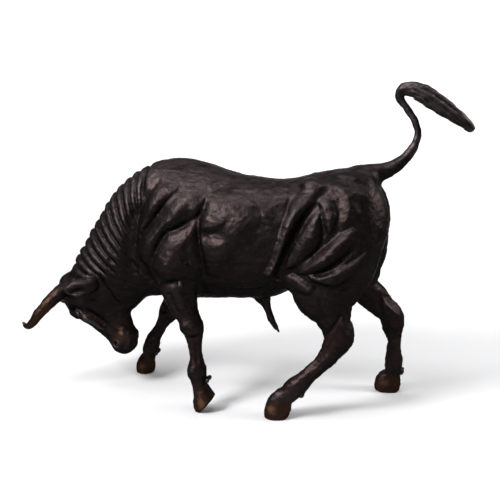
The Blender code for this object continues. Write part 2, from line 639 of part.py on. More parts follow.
class Folds:
    """Rolls of loose skin: the surface swells between creases that run down from the crest."""

    def __init__(self):
        self.creases = []
        starts = spread(CREST, FOLD_COUNT)
        ends = spread(FOLD_ENDS, FOLD_COUNT)
        for start, end in zip(starts, ends):
            middle = (start + end) / 2
            run, climb = end - start
            sag = np.array((climb, -run)) / math.hypot(run, climb) * FOLD_SAG
            beyond = start + (start - middle) * 0.15
            line = Line(1, 1, 1, [beyond, middle + sag, end])
            self.creases.append(line)

    def bounds(self):
        lows, highs = zip(*(line.bounds() for line in self.creases))
        return np.min(lows, axis=0), np.max(highs, axis=0)

    def rise(self, x, z):
        first = np.full(len(x), FAR, np.float32)
        second = first.copy()
        share = np.zeros(len(x), np.float32)
        for line in self.creases:
            off, part = nearest_on(line.curve, line.along, x, z)
            closer = off < first
            second = np.where(closer, first, np.minimum(second, off))
            share = np.where(closer, part, share)
            first = np.where(closer, off, first)
        space = np.minimum(first + second, FOLD_SPACE)
        dip = np.clip(1 - 2 * first / space, 0, 1) ** FOLD_ROUNDNESS
        fade = 1 - smooth_step(share, 0.66, 1.0)
        return -FOLD_DEPTH * space / FOLD_SPACE * dip * fade


class Muscle:
    """A muscle in the side view: the surface swells inside its outline, rounded at the edge."""

    def __init__(self, height, edge, softness, outline, steps=3):
        self.height = height
        self.edge = edge
        self.softness = softness
        around = through([outline[-1], *outline, *outline[:2]], steps)
        self.curve = around[steps : -steps].astype(np.float32)

    def bounds(self):
        low, high = self.curve.min(axis=0), self.curve.max(axis=0)
        return (low[0], -FAR, low[1]), (high[0], FAR, high[1])

    def rise(self, x, z):
        off, _ = nearest_on(self.curve, np.zeros(len(self.curve)), x, z)
        inside = np.zeros(len(x), bool)
        for (x0, z0), (x1, z1) in zip(self.curve, self.curve[1:]):
            if z0 != z1:
                crossed = ((z0 > z) != (z1 > z)) & (x < x0 + (z - z0) / (z1 - z0) * (x1 - x0))
                inside ^= crossed
        dome = (1 - (1 - np.clip(off / self.edge, 0, 1)) ** 2) ** self.softness
        return self.height * inside * dome


def spread(rows, count):
    """Points at equal spaces along a curve."""
    curve = through(rows, 8)
    lengths = np.concatenate([[0], np.cumsum(np.linalg.norm(np.diff(curve, axis=0), axis=1))])
    stops = np.linspace(0, lengths[-1], count)
    return np.stack([np.interp(stops, lengths, curve[:, i]) for i in (0, 1)], -1)


def smooth_step(value, low, high):
    share = np.clip((value - low) / (high - low), 0, 1)
    return share * share * (3 - 2 * share)


def middle_lines(near_rows, far_rows):
    """How far the far leg stands behind the near one at each height."""
    heights = np.linspace(20, 84, 17)
    shifts = []
    for height in heights:
        xs = []
        for rows in (near_rows, far_rows):
            rows = sorted((row[1], row[0]) for row in rows)
            xs.append(np.interp(height, *zip(*rows)))
        shifts.append(xs[1] - xs[0])
    return heights, shifts


class Field:
    """Distances to the figure at a set of points that are sorted by x."""

    def __init__(self, points):
        self.points = points
        self.value = np.full(len(points), FAR, np.float32)

    def within(self, low, high, margin):
        x = self.points[:, 0]
        first, last = np.searchsorted(x, (low[0] - margin, high[0] + margin))
        part = self.points[first:last]
        inside = (part[:, 1] > low[1] - margin) & (part[:, 1] < high[1] + margin)
        inside &= (part[:, 2] > low[2] - margin) & (part[:, 2] < high[2] + margin)
        return first + np.nonzero(inside)[0]

    def add(self, mass, blend, margin):
        chosen = self.within(*mass.bounds(), blend + margin)
        found = mass.distance(self.points[chosen])
        self.value[chosen] = smooth_min(self.value[chosen], found, blend)

    def cut(self, mass, blend):
        chosen = self.within(*mass.bounds(), blend)
        found = mass.distance(self.points[chosen])
        self.value[chosen] = smooth_max(self.value[chosen], -found, blend)

    def carve(self, line, x, weight):
        low, high = line.bounds()
        z = self.points[:, 2]
        chosen = np.nonzero((x > low[0]) & (x < high[0]) & (z > low[2]) & (z < high[2]))[0]
        weight = weight if np.isscalar(weight) else weight[chosen]
        self.value[chosen] -= weight * line.rise(x[chosen], z[chosen])


def distances(points, margin):
    """Distance from each point to the surface of the whole figure, relief included."""
    field = Field(points)
    for mass, blend in masses():
        field.add(mass, blend, margin)
    for mass, blend in hollows():
        field.cut(mass, blend)
    side = smooth_step(np.abs(points[:, 1]), 2.5, 7.0)
    far = points[:, 1] > 0
    x, z = points[:, 0], points[:, 2]
    fore = np.interp(z, *middle_lines(FORELEG_NEAR, FORELEG_FAR)) * smooth_step(-x, 4, 16)
    hind = np.interp(z, *middle_lines(HINDLEG_NEAR, HINDLEG_FAR)) * smooth_step(x, 12, 26)
    behind = np.where(far, x - hind, x)
    ahead = np.where(far, x - fore, x)
    field.carve(Folds(), x, 1)
    fleshy = side * (1 - smooth_step(z, *MUSCLE_FADE))
    for row in MUSCLES:
        field.carve(Muscle(*row), x, fleshy)
    for row in THIGH_MUSCLES:
        field.carve(Muscle(*row), behind, fleshy)
    for row in BODY_LINES:
        field.carve(Line(*row), x, side)
    for row in THIGH_LINES:
        field.carve(Line(*row), behind, side)
    for row in FORELEG_LINES:
        field.carve(Line(*row), ahead, side)
    return field.value


def figure_box():
    lows, highs = zip(*(mass.bounds() for mass, _ in masses()))
    low = np.min(lows, axis=0)
    low[2] = max(low[2], -3.0)
    return low - 2.0, np.max(highs, axis=0) + 2.0


def sampled(step):
    """Distances on a regular grid: rough ones far from the surface, true ones near it."""
    low, high = figure_box()
    rough = 4
    count = np.ceil((high - low) / (step * rough)).astype(int) + 1
    axes = [low[i] + step * rough * np.arange(count[i]) for i in range(3)]
    grid = np.stack(np.meshgrid(*axes, indexing="ij"), -1).reshape(-1, 3)
    coarse = distances(grid.astype(np.float32), 4 * step * rough).reshape(count)
    fine = coarse
    for axis in range(3):
        fine = stretched(fine, rough, axis)
    axes = [low[i] + step * np.arange(fine.shape[i]) for i in range(3)]
    near = np.nonzero(np.abs(fine) < step * rough * 1.3)
    points = np.stack([axes[i][near[i]] for i in range(3)], -1).astype(np.float32)
    fine[near] = distances(points, 4 * step)
    return untangled(fine), low


def stretched(values, times, axis):
    """The values with times - 1 in-between ones along one axis."""
    values = np.moveaxis(values, axis, 0)
    out = np.empty(((len(values) - 1) * times + 1, *values.shape[1:]), np.float32)
    for i in range(times):
        share = i / times
        out[i : len(out) - 1 : times] = values[:-1] * (1 - share) + values[1:] * share
    out[-1] = values[-1]
    return np.moveaxis(out, 0, axis)


def corners_of(values, axes):
    """The values at both ends of every step along the given axes, with their places."""
    picks = []
    for offset in np.ndindex(*(2 if axis in axes else 1 for axis in range(3))):
        pick = tuple(
            slice(offset[i], values.shape[i] - (i in axes) + offset[i]) for i in range(3)
        )
        picks.append(pick)
    return picks


def untangled(values):
    """The values with the rare cells filled in which two sheets of surface would meet."""
    for _ in range(12):
        inside = values < 0
        knotted = np.zeros(values.shape, bool)
        for axes in ((0, 1), (0, 2), (1, 2)):
            picks = corners_of(values, axes)
            a, b, c, d = (inside[pick] for pick in picks)
            knot = (a == d) & (b == c) & (a != b)
            for pick in picks:
                knotted[pick] |= knot
        picks = corners_of(values, (0, 1, 2))
        count = sum(inside[pick].astype(np.int8) for pick in picks)
        for one, other in zip(picks[:4], picks[:3:-1]):
            same = inside[one] == inside[other]
            knot = same & (count == np.where(inside[one], 2, 6))
            for pick in picks:
                knotted[pick] |= knot
        knotted &= ~inside
        if not knotted.any():
            break
        values[knotted] = -1e-3
    return values


CELL_EDGES = [
    (axis, tuple(np.insert((i, j), axis, 0)))
    for axis in range(3)
    for i in (0, 1)
    for j in (0, 1)
]


def surface(values, low, step):
    """Points and quads of the zero surface: one point in each cell that it crosses."""
    inside = values < 0
    shape = tuple(n - 1 for n in values.shape)
    corners = np.zeros(shape, np.int8)
    for i in (0, 1):
        for j in (0, 1):
            for k in (0, 1):
                corners += inside[i : shape[0] + i, j : shape[1] + j, k : shape[2] + k]
    cell = np.nonzero((corners > 0) & (corners < 8))
    number = np.full(shape, -1, np.int32)
    number[cell] = np.arange(len(cell[0]))
    total = np.zeros((len(cell[0]), 3))
    hits = np.zeros(len(cell[0]))
    for axis, corner in CELL_EDGES:
        start = tuple(c + o for c, o in zip(cell, corner))
        end = tuple(s + (i == axis) for i, s in enumerate(start))
        a, b = values[start], values[end]
        crossed = (a < 0) != (b < 0)
        share = a[crossed] / (a[crossed] - b[crossed])
        spot = np.stack([s[crossed] for s in start], -1).astype(float)
        spot[:, axis] += share
        total[crossed] += spot
        hits[crossed] += 1
    points = total / hits[:, None] * step + low
    quads = []
    for axis in range(3):
        u, v = (axis + 1) % 3, (axis + 2) % 3
        here = [slice(1, n) for n in shape]
        here[axis] = slice(0, shape[axis])
        after = list(here)
        after[axis] = slice(1, shape[axis] + 1)
        first, last = inside[tuple(here)], inside[tuple(after)]
        for turned, found in ((False, first & ~last), (True, ~first & last)):
            at = np.array(np.nonzero(found))
            at[u] += 1
            at[v] += 1
            ring = []
            for du, dv in ((0, 0), (-1, 0), (-1, -1), (0, -1)):
                spot = at.copy()
                spot[u] += du
                spot[v] += dv
                ring.append(number[tuple(spot)])
            ring = np.stack(ring, -1)
            quads.append(ring[:, ::-1] if turned else ring)
    return points, np.vstack(quads)


def thinned(mesh, budget):
    """The mesh with its flattest edges collapsed until it fits the triangle budget."""
    body = bpy.data.objects.new("thinned", mesh)
    bpy.context.scene.collection.objects.link(body)
    triangles = sum(len(face.vertices) - 2 for face in mesh.polygons)
    collapse = body.modifiers.new("collapse", "DECIMATE")
    collapse.ratio = min(1.0, budget / triangles)
    collapse.use_collapse_triangulate = True
    graph = bpy.context.evaluated_depsgraph_get()
    result = bpy.data.meshes.new_from_object(body.evaluated_get(graph))
    bpy.data.objects.remove(body)
    return result


def trimmed(mesh):
    """The mesh cut flat at the ground, which closes each hoof with a level sole."""
    work = bmesh.new()
    work.from_mesh(mesh)
    everything = work.verts[:] + work.edges[:] + work.faces[:]
    cut = bmesh.ops.bisect_plane(
        work, geom=everything, dist=1e-6, plane_co=(0, 0, 0), plane_no=(0, 0, -1), clear_outer=True
    )
    rim = [item for item in cut["geom_cut"] if isinstance(item, bmesh.types.BMEdge)]
    bmesh.ops.holes_fill(work, edges=rim, sides=0)
    bmesh.ops.remove_doubles(work, verts=work.verts[:], dist=1e-5)
    bmesh.ops.dissolve_degenerate(work, edges=work.edges[:], dist=1e-5)
    bmesh.ops.triangulate(work, faces=[face for face in work.faces if len(face.verts) > 3])
    work.to_mesh(mesh)
    work.free()
    return mesh


def centred(mesh):
    """The mesh moved so that the middle of its footprint box is at x = y = 0."""
    spots = np.empty(3 * len(mesh.vertices))
    mesh.vertices.foreach_get("co", spots)
    spots = spots.reshape(-1, 3)
    spots[:, :2] -= (spots.min(axis=0) + spots.max(axis=0))[:2] / 2
    mesh.vertices.foreach_set("co", spots.ravel())
    mesh.update()
    return mesh


def bull():
    """The casting, thinned to the triangle budget and trimmed flat where it stands."""
    step = MESH_STEP / UNIT
    values, low = sampled(step)
    points, quads = surface(values, low, step)
    mesh = bpy.data.meshes.new("bull")
    mesh.from_pydata(points * UNIT, [], quads.tolist())
    mesh = centred(trimmed(thinned(mesh, TRIANGLE_BUDGET)))
    mesh.name = "bull"
    body = bpy.data.objects.new("bull", mesh)
    bpy.context.scene.collection.objects.link(body)
    return body


def main():
    for old in list(bpy.data.objects):
        bpy.data.objects.remove(old)
    bull()


if __name__ == "__main__":
    main()
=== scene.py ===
"""Looks of the life-size bronze bull: its form with all its carving, its patina and a studio.

The form below repeats the solid's form from the same proportions, sampled more than twice as
finely, with the finer carving that the photograph shows. Every row is written in points, where
one point is a hundredth of the height at the withers.
"""

import math

import bmesh
import bpy
import numpy as np
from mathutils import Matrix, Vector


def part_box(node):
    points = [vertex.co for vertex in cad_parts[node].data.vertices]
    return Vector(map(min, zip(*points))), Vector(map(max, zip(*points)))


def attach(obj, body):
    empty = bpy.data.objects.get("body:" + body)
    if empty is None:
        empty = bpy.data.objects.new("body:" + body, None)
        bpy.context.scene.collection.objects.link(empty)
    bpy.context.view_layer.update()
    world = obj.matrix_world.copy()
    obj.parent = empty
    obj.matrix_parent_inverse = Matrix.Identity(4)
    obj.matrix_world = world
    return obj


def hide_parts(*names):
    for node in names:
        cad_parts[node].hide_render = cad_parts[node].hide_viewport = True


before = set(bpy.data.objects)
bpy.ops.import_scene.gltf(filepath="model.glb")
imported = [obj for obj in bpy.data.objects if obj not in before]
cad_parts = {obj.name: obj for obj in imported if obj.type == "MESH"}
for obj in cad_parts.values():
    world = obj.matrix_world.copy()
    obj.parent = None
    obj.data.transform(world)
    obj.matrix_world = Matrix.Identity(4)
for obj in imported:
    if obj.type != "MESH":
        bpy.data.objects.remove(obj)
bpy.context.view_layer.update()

# Size of the figure, in metres
WITHERS_HEIGHT = 1.4

# One point of the figure's proportions, in metres
UNIT = WITHERS_HEIGHT / 100
# A distance beyond any on the figure, in points
FAR = 1.0e3
# Sign of y on the side that the photograph shows and on the other
NEAR_SIDE = -1
FAR_SIDE = 1

# Fineness of the visible mesh: spacing of the samples in points, and the most triangles
FINE_STEP = 0.36
VISIBLE_TRIANGLES = 190000

# Camera of the photograph, in the frame of the part: degrees, metres and millimetres
CAMERA_TURN = 12.0
CAMERA_TILT = 11.24
CAMERA_PLACE = (0.953, -4.21, 1.74)
CAMERA_LENS = 55.58
CAMERA_SENSOR = 36.0

# Studio: shade of the backdrop, then in metres its wall, the cove under it and its edges
BACKDROP_SHADE = (0.4, 0.4, 0.405)
WALL_PLACE = 9.0
COVE = 4.0
COVE_STEPS = 24
FLOOR_FRONT = -14.0
FLOOR_SIDE = 22.0
WALL_TOP = 12.0
# The floor lies this far under the soles, so that the two faces don't meet
FLOOR_GAP = 0.0005
WORLD_LIGHT = 0.1

# Lamps: name, place, aim, width and height, and power in watts
LAMPS = (
    ("key_light", (-2.4, -3.1, 3.7), (-0.1, 0, 1.0), (1.5, 1.5), 565),
    ("crown_light", (-2.5, -0.9, 4.1), (-0.3, 0, 1.1), (1.2, 0.8), 72),
    ("top_light", (0.3, -0.9, 4.4), (0.2, 0, 0.9), (2.0, 0.8), 80),
    ("rim_light", (3.6, 0.2, 2.8), (0.8, 0, 1.0), (0.8, 1.6), 150),
    ("wall_light", (-2.0, 3.6, 6.5), (-2.0, 9.0, 1.5), (18.0, 1.5), 2100),
)

# Patina: shades, strengths and roughness as stops along a noise
DARK_STOPS = (
    (0.3, (0.0078, 0.0059, 0.0058)),
    (0.55, (0.0141, 0.0106, 0.0105)),
    (0.78, (0.03, 0.0226, 0.023)),
)
WARM_STOPS = ((0.5, (0.0,)), (0.72, (0.55,)))
WARM_SHADE = (0.022, 0.0128, 0.0105)
FLECK_STOPS = ((0.3, (0.75,)), (0.7, (1.0,)))
SHINE_STOPS = ((0.25, (0.37,)), (0.75, (0.54,)))
# Noises of the patina and its bumps: scale, detail and roughness
CLOUDS = (4.0, 7.0, 0.62)
RUST = (9.0, 6.0, 0.7)
SPECKS = (45.0, 5.0, 0.7)
GRAIN = (210.0, 4.0, 0.65)
DENTS = (62.0, 3.0, 0.5)
METALLIC = 0.9
EDGE_TINT = (0.32, 0.3, 0.3, 1)

# Shades laid over the patina one after another, each through the mask of the same name
# Some are colours of the metal, some are painted shade and painted highlights
MARKS = (
    ("ruddy", (0.019, 0.0098, 0.0085)),
    ("painted_underside_shade", (0.0048, 0.0038, 0.0038)),
    ("dust_and_painted_sheen", (0.048, 0.0385, 0.0395)),
    ("painted_crease_shade", (0.006, 0.0048, 0.0045)),
    ("painted_shade", (0.0055, 0.0043, 0.004)),
    ("painted_bulge_highlight", (0.054, 0.042, 0.042)),
    ("horn", (0.0195, 0.01, 0.0066)),
    ("hoof", (0.022, 0.0112, 0.0078)),
    ("wear_and_painted_glint", (0.15, 0.08, 0.046)),
)

# How far the part stands to the right of the rows below, because its box is centred, in points
PART_SHIFT = 4.2

# How strongly bulges and creases count in the painted light masks, and how often they are smoothed
BEND_SCALE = 3.0
BEND_ROUNDS = 4

# Patches of painted shade in the side view: x, z, half sizes along and across, and strength
PAINTED_SHADE_PATCHES = (
    (-67.2, 45.4, 3.6, 1.5, 0.9),
    (-62, 38.5, 9, 8, 0.75),
    (-50.5, 58, 10, 15, 0.7),
    (-2, 55, 20, 8, 0.85),
    (38, 93, 10, 4.5, 0.5),
    (36, 64, 15, 15, 0.3),
    (-41, 18, 12, 20, 0.5),
)

# Patches worn lighter on the muzzle and painted glints on the hooves, written the same way
WEAR_AND_GLINT_PATCHES = (
    (-55, 28, 1, 0.9, 0.5),
    (-55, 26, 0.9, 1.1, 1.1),
    (-57.4, 22.4, 1.2, 0.9, 0.3),
    (-54.8, 24, 2.4, 2.4, 0.12),
    (13, 4.4, 1.9, 1.7, 0.55),
    (-15.2, 4.6, 1.6, 2.8, 0.65),
    (55, 4.4, 2.2, 1.4, 0.28),
    (-54, 3.8, 1.7, 1.3, 0.2),
)

# Torso, from brisket to rump: x, top, bottom, half width
TORSO = [
    (-38, 93, 47, 13), (-30, 98, 43.4, 18), (-18, 97.8, 43.1, 21), (-5, 94.2, 44, 22.8),
    (5, 92.8, 44.4, 23), (12, 92.2, 45.8, 22), (20, 93.3, 49.8, 20), (28, 95.5, 55, 18.5),
    (40, 97.2, 58, 17), (46, 97.2, 60, 14.5),
]
CHEST_END = 10.0
RUMP_END = 6.4

# Neck: crest x, crest z, throat x, throat z, half width
NECK = [
    (-76.3, 52.6, -53.2, 34.6, 8.4), (-73.3, 60.4, -48.8, 37.4, 10.2), (-67.3, 68.1, -45.8, 40.5, 12),
    (-60.4, 76.8, -42.2, 43.2, 13.8), (-52.4, 85.3, -37.6, 44.8, 15.2), (-45.2, 93.1, -32, 45.2, 16.4),
    (-37.4, 98.8, -26, 45.4, 17.6),
]

# Head: forehead line x, z, jaw line x, z, half width
HEAD = [
    (-83.2, 39, -71.4, 47.6, 6.4), (-79.8, 33.8, -64, 46.8, 7.8), (-75.2, 30.6, -59.4, 44.4, 7.6),
    (-71, 28, -56.4, 40.8, 6.6), (-66.8, 24.6, -54, 35.4, 5.5), (-62.8, 21.2, -52.3, 30.2, 4.8),
    (-59.9, 17.8, -50.9, 25.2, 4.9), (-58.9, 16.8, -53.2, 21.6, 4.4),
]

# Legs and tail: x, z, y, half depth in the side view, half width across
FORELEG_NEAR = [
    (-28, 78, -11.5, 12.5, 7.5), (-28.6, 65, -13.6, 11.6, 7.6), (-26.6, 55, -15.4, 9.2, 6.4),
    (-24.5, 46.5, -16.4, 6.5, 5.2), (-23.1, 41.8, -16.8, 5.4, 4.5), (-21.2, 38.2, -17, 4.5, 4),
    (-20, 34.4, -17.2, 4.8, 4.3), (-19.1, 30.6, -17.3, 3.5, 3.4), (-18.8, 26.1, -17.5, 2.7, 2.7),
    (-18.1, 22.1, -17.6, 2.6, 2.6), (-18.1, 16.7, -17.8, 3.9, 3.5), (-17.7, 13.8, -17.9, 3.3, 3.2),
    (-16.8, 10.4, -18, 2.9, 3),
]
FORELEG_FAR = [
    (-28, 78, 11.5, 12.5, 7.5), (-30.6, 65, 13.6, 11.6, 7.6), (-32.4, 55, 15.6, 9.2, 6.4),
    (-34.4, 46.5, 16.6, 6.8, 5.2), (-36.7, 39, 17.2, 5.4, 4.4), (-38.8, 34, 17.6, 4.6, 4.2),
    (-40.8, 30.2, 17.9, 4.7, 4.2), (-43, 26.4, 18.3, 3.3, 3.3), (-45.6, 21.8, 18.7, 2.7, 2.7),
    (-48.4, 17.4, 19.1, 3.1, 2.7), (-50, 13.4, 19.4, 3.7, 3.4), (-51.2, 10.2, 19.6, 3.2, 3.1),
    (-51.7, 7.4, 19.8, 3, 3),
]
HINDLEG_NEAR = [
    (40, 84, -8.5, 12, 8), (38.5, 74, -10.6, 15.3, 8.8), (36, 64, -12.6, 15.8, 8.8),
    (33.2, 56.6, -14, 14.4, 7.6), (31.9, 50.8, -14.6, 11.8, 6.5), (34.9, 45, -15, 7.9, 5.4),
    (35.7, 41.8, -15, 7.1, 4.9), (36.8, 38.8, -15, 6.3, 4.4), (37.8, 35.6, -15, 6.1, 4.1),
    (37.8, 32.4, -15.1, 5.6, 4.2), (36, 28.8, -15.4, 4.5, 3.8), (33.5, 24.8, -15.9, 3.7, 3.2),
    (29.8, 20.8, -16.5, 3.2, 2.8), (25.9, 16.9, -17.1, 3.3, 2.9), (22.1, 13.1, -17.6, 4.1, 3.6),
    (19.1, 10, -17.9, 3.7, 3.3), (16.7, 7.9, -18.1, 3.8, 3.2),
]
HINDLEG_FAR = [
    (40, 84, 8.5, 12, 8), (39.8, 74, 10.8, 14.5, 8.8), (40.3, 64, 12.8, 14.1, 8.8),
    (42, 55.8, 14.4, 10.3, 7.6), (44.1, 47.8, 15.2, 6.7, 6.3), (49.4, 42, 15.7, 6.1, 4.9),
    (53.2, 38.4, 16, 5.2, 4.3), (56.2, 35.6, 16.3, 5, 4.1), (57.5, 32.2, 16.6, 4.9, 4),
    (57.7, 28.2, 17.1, 4.1, 3.4), (58.3, 22.6, 17.8, 3, 2.8), (58.4, 17.8, 18.4, 3.2, 2.9),
    (58.6, 13.2, 19, 3.8, 3.4), (58.3, 9.8, 19.4, 3.4, 3.1), (58, 7.2, 19.7, 3.4, 3.1),
]
TAIL = [
    (43.5, 92.9, 0, 4.8, 5.4), (50, 95.4, 0, 3.7, 3.7), (54.1, 96.8, 0, 3, 2.9),
    (57.3, 98.7, 0, 2.5, 2.4), (60.4, 101.5, 0, 2.05, 2), (62.8, 104.6, 0, 1.75, 1.7),
    (64.2, 107.6, 0, 1.5, 1.45), (64.6, 110.6, 0, 1.35, 1.3), (64, 113.6, 0, 1.35, 1.3),
    (62.4, 116.8, 0, 1.35, 1.3), (60.1, 120, 0, 1.35, 1.3), (57.7, 123.1, 0, 1.5, 1.45),
    (57.3, 125.5, 0, 1.7, 1.65), (58.9, 127.4, 0, 2, 2),
]
TUFT = [
    (58.8, 127.2, 0, 2.1, 2.1), (62.4, 126.8, 0, 3, 2.8), (66.4, 125, 0, 3.5, 3.2),
    (71.3, 121.9, 0, 3.4, 3.1), (75.9, 118.8, 0, 3, 2.7), (80, 115.9, 0, 2.4, 2.1),
    (83.5, 112.9, 0, 1.8, 1.5),
]
HORN = [
    (-76.2, 45.8, 6, 3.2, 3.2), (-78.2, 44.6, 11, 3, 3), (-81, 41.4, 15.2, 2.7, 2.7),
    (-84.6, 37.2, 17.8, 2.3, 2.3), (-87.9, 33, 18.4, 1.85, 1.85), (-90.2, 30.8, 18, 1.45, 1.45),
    (-91.9, 30.5, 17.3, 1, 1), (-93.2, 31.4, 16.8, 0.6, 0.6),
]
FAR_HORN_LIFT = 1.8
EAR = [
    (-63.2, 49.4, 7.6, 2.6, 2.6), (-65.2, 48.6, 10.8, 3.8, 2.4), (-68, 47.6, 13.4, 4, 2),
    (-70.8, 46.8, 15, 3.1, 1.5), (-73, 46.7, 15.8, 1.7, 0.9), (-74.2, 46.9, 16.2, 0.5, 0.4),
]
SHEATH = [
    (4.2, 45.6, 0, 4, 3.2), (6.2, 42.2, 0, 2.4, 2.1), (7.5, 38.6, 0, 1.5, 1.5),
    (8.8, 34.8, 0, 1.5, 1.4), (10.6, 31.6, 0, 1, 0.9), (12, 29.6, 0, 0.6, 0.5),
]

# Hooves, fore and hind, near before far: coronet x, z and half depth, widest x, z and half depth,
# toe x, z, heel x, z, centre y
HOOVES = [
    (-16.2, 9, 3.4, -15.2, 6.2, 4.2, -17.6, -1.6, -10, 7.2, -18.2),
    (-52.4, 6.6, 3.5, -53.3, 3.2, 4.5, -57.6, -0.5, -49.8, -0.5, 20),
    (16.6, 7.8, 4.2, 15.2, 4.6, 5.3, 9.4, -0.5, 18.6, -0.5, -18.3),
    (57.9, 7, 3.7, 56.3, 3.4, 5.6, 51, -0.5, 61.2, -0.5, 20),
]
HOOF_HALF_WIDTH = 3.9
CORONET_HALF_WIDTH = 3.2
CLEFT_DEPTH = 0.9
CLEFT_HALF_WIDTH = 0.45

# Dewclaws behind the fetlocks: x, z, y, and how far each stands aside
DEWCLAWS = [
    (-13.4, 13.4, -17.8, 1.7),
    (-47.4, 10.2, 19.4, 1.7),
    (24.6, 10.4, -17.7, 1.7),
    (62, 9.4, 19.2, 1.7),
]

# Bones and muscles on both sides: x, z, y, half sizes along x, z and y, turn, blend
KNOBS = [
    (27, 90.7, 11, 4.8, 3.4, 4, -20, 2.5),
    (18.4, 54.4, 11.5, 6.2, 3.6, 3.4, -42, 2.5),
    (49.9, 77.2, 7, 5, 11.2, 5, 0, 4),
    (-65, 39.6, 4.4, 7, 5.4, 4.2, -52, 2),
    (-75, 34, 4.8, 3.4, 2.3, 2.8, -40, 1),
    (-73.4, 34.2, 6.6, 1.5, 1.2, 1.3, -45, 0.4),
    (-57.2, 20, 2.2, 3, 2.8, 3.2, -50, 1.2),
    (-75.2, 44.4, 6.2, 3.4, 3.2, 3.2, 0, 2),
    (-64.4, 45.8, 7.2, 2.2, 1.8, 2.6, -30, 1.2),
    (-64.4, 40.6, 6.7, 1.8, 1.4, 2.2, -40, 1.2),
]
# Bones and muscles on the middle line, written the same way
MIDDLES = [
    (-78.5, 42.6, 0, 3.6, 3.6, 5.4, -50, 2),
    (-51.9, 24.2, 0, 2.6, 3, 3.4, -50, 1.4),
    (-40, 50, 0, 7, 7.6, 6, -40, 4),
    (36, 53, 0, 4.4, 6.4, 4.6, 0, 2),
]
# Hollows cut on both sides, written the same way
HOLLOWS = [
    (-57.4, 21.2, 4.8, 1.4, 0.8, 1.2, -60, 0.5),
    (-67.4, 46.2, 16.8, 5, 1.7, 2.4, 8, 1),
]

# Muscles on both sides: height, width of the rounded edge, softness of its rim, then the
# x, z points of the outline
MUSCLES = [
    (2.1, 3.8, 1.2, [
        (-32.7, 94), (-26.5, 95.6), (-21, 94.4), (-26.2, 87.8), (-29.8, 83.6), (-32.9, 79.1),
        (-36.4, 74.7), (-40.2, 71.2), (-41.8, 73), (-41.3, 78.7), (-39.3, 83.2), (-36.9, 87.5),
    ]),
    (2.5, 5, 1.2, [
        (-19.4, 93.5), (-24.2, 88), (-28.3, 83), (-31.5, 78.5), (-35.2, 74.1), (-39.8, 70.4),
        (-42.6, 65.3), (-42, 60.3), (-38.7, 58.6), (-35.5, 61), (-33.6, 65.2), (-31.2, 69.5),
        (-28.5, 72.9), (-24.4, 74.4), (-19.3, 77.6), (-15, 80.4), (-13.4, 86.2), (-14.6, 93),
    ]),
    (2.9, 8, 1, [
        (-28.1, 72.6), (-24, 74.3), (-19.6, 76.4), (-16.9, 75.6), (-15.8, 71.6), (-14.9, 66.2),
        (-14.4, 58.8), (-16.7, 53.6), (-21.3, 54.6), (-26.4, 53.4), (-31.6, 54.4), (-35.2, 58.3),
        (-34.5, 61.4), (-32.9, 65), (-30.5, 69.3),
    ]),
    (1.5, 9, 1.4, [
        (-15.5, 88), (-6.9, 92.5), (1.3, 92.5), (6, 86.5), (9, 80), (6.5, 73), (1, 65), (-4, 57),
        (-14, 56), (-15.6, 68),
    ]),
    (1.1, 2.8, 1, [
        (-15.6, 77.6), (-12.9, 80.6), (-8.7, 80.2), (-4.6, 77.8), (-8.6, 74.1), (-14.1, 73.9),
    ]),
    (0.8, 4, 1.2, [
        (-15.3, 70.9), (-9.6, 71.7), (-3.7, 70.6), (-0.5, 66.3), (-5.7, 60.6), (-13.6, 60.3),
        (-14.6, 65.7),
    ]),
    (2.3, 3.8, 1.5, [
        (26, 98), (21.5, 90.5), (18, 83.5), (15.9, 77.2), (14.5, 71.1), (12, 63.4), (8.9, 57.9),
        (13.6, 56.4), (17.1, 64), (20, 70.8), (22.6, 76.6), (25.8, 81.6), (29.2, 85.8), (32.4, 89.4),
        (34.6, 96.5),
    ]),
]
# Muscles of the thigh, drawn on the near leg and swung back on the far one
THIGH_MUSCLES = [
    (1.9, 4.6, 1.3, [
        (30.4, 84), (26, 80.6), (23.4, 75.6), (20.9, 70.6), (18.6, 65), (17, 60.2), (22.6, 60.6),
        (28.6, 66.3), (31.8, 72), (32.6, 77.4), (32, 82.2),
    ]),
    (1.5, 2.6, 1.3, [
        (28.8, 86.6), (32, 88.6), (35.2, 86.6), (37.2, 82), (36.6, 77.2), (33.9, 74), (31.4, 78),
        (30.2, 82.3),
    ]),
    (1.4, 5.4, 1.3, [
        (36.6, 89.4), (39.6, 91.2), (43.8, 89.6), (45.4, 83.2), (42.4, 77.8), (38.4, 75), (37, 78),
        (37.6, 83),
    ]),
    (2, 3.8, 1.3, [
        (43.4, 77.2), (40.6, 76.6), (37.2, 74.2), (33.4, 70.6), (29.2, 67), (24.2, 63), (21.2, 58.4),
        (27.1, 58.4), (33.2, 60.6), (38, 64), (41.6, 68), (43.8, 73),
    ]),
    (1.5, 2.2, 1.1, [
        (47.8, 68.2), (45.2, 66.2), (41.7, 64), (36.7, 61.4), (31.7, 59.3), (28.1, 59.4), (26.3, 58.1),
        (29.4, 56), (35.4, 54.6), (40.2, 56.3), (44, 59.6),
    ]),
    (1.4, 2.6, 1.2, [
        (12.9, 55.6), (15.6, 57.6), (20.7, 58.6), (25.1, 56.4), (29.4, 54.2), (27, 50.6), (21, 51.6),
        (16.2, 52.9),
    ]),
]

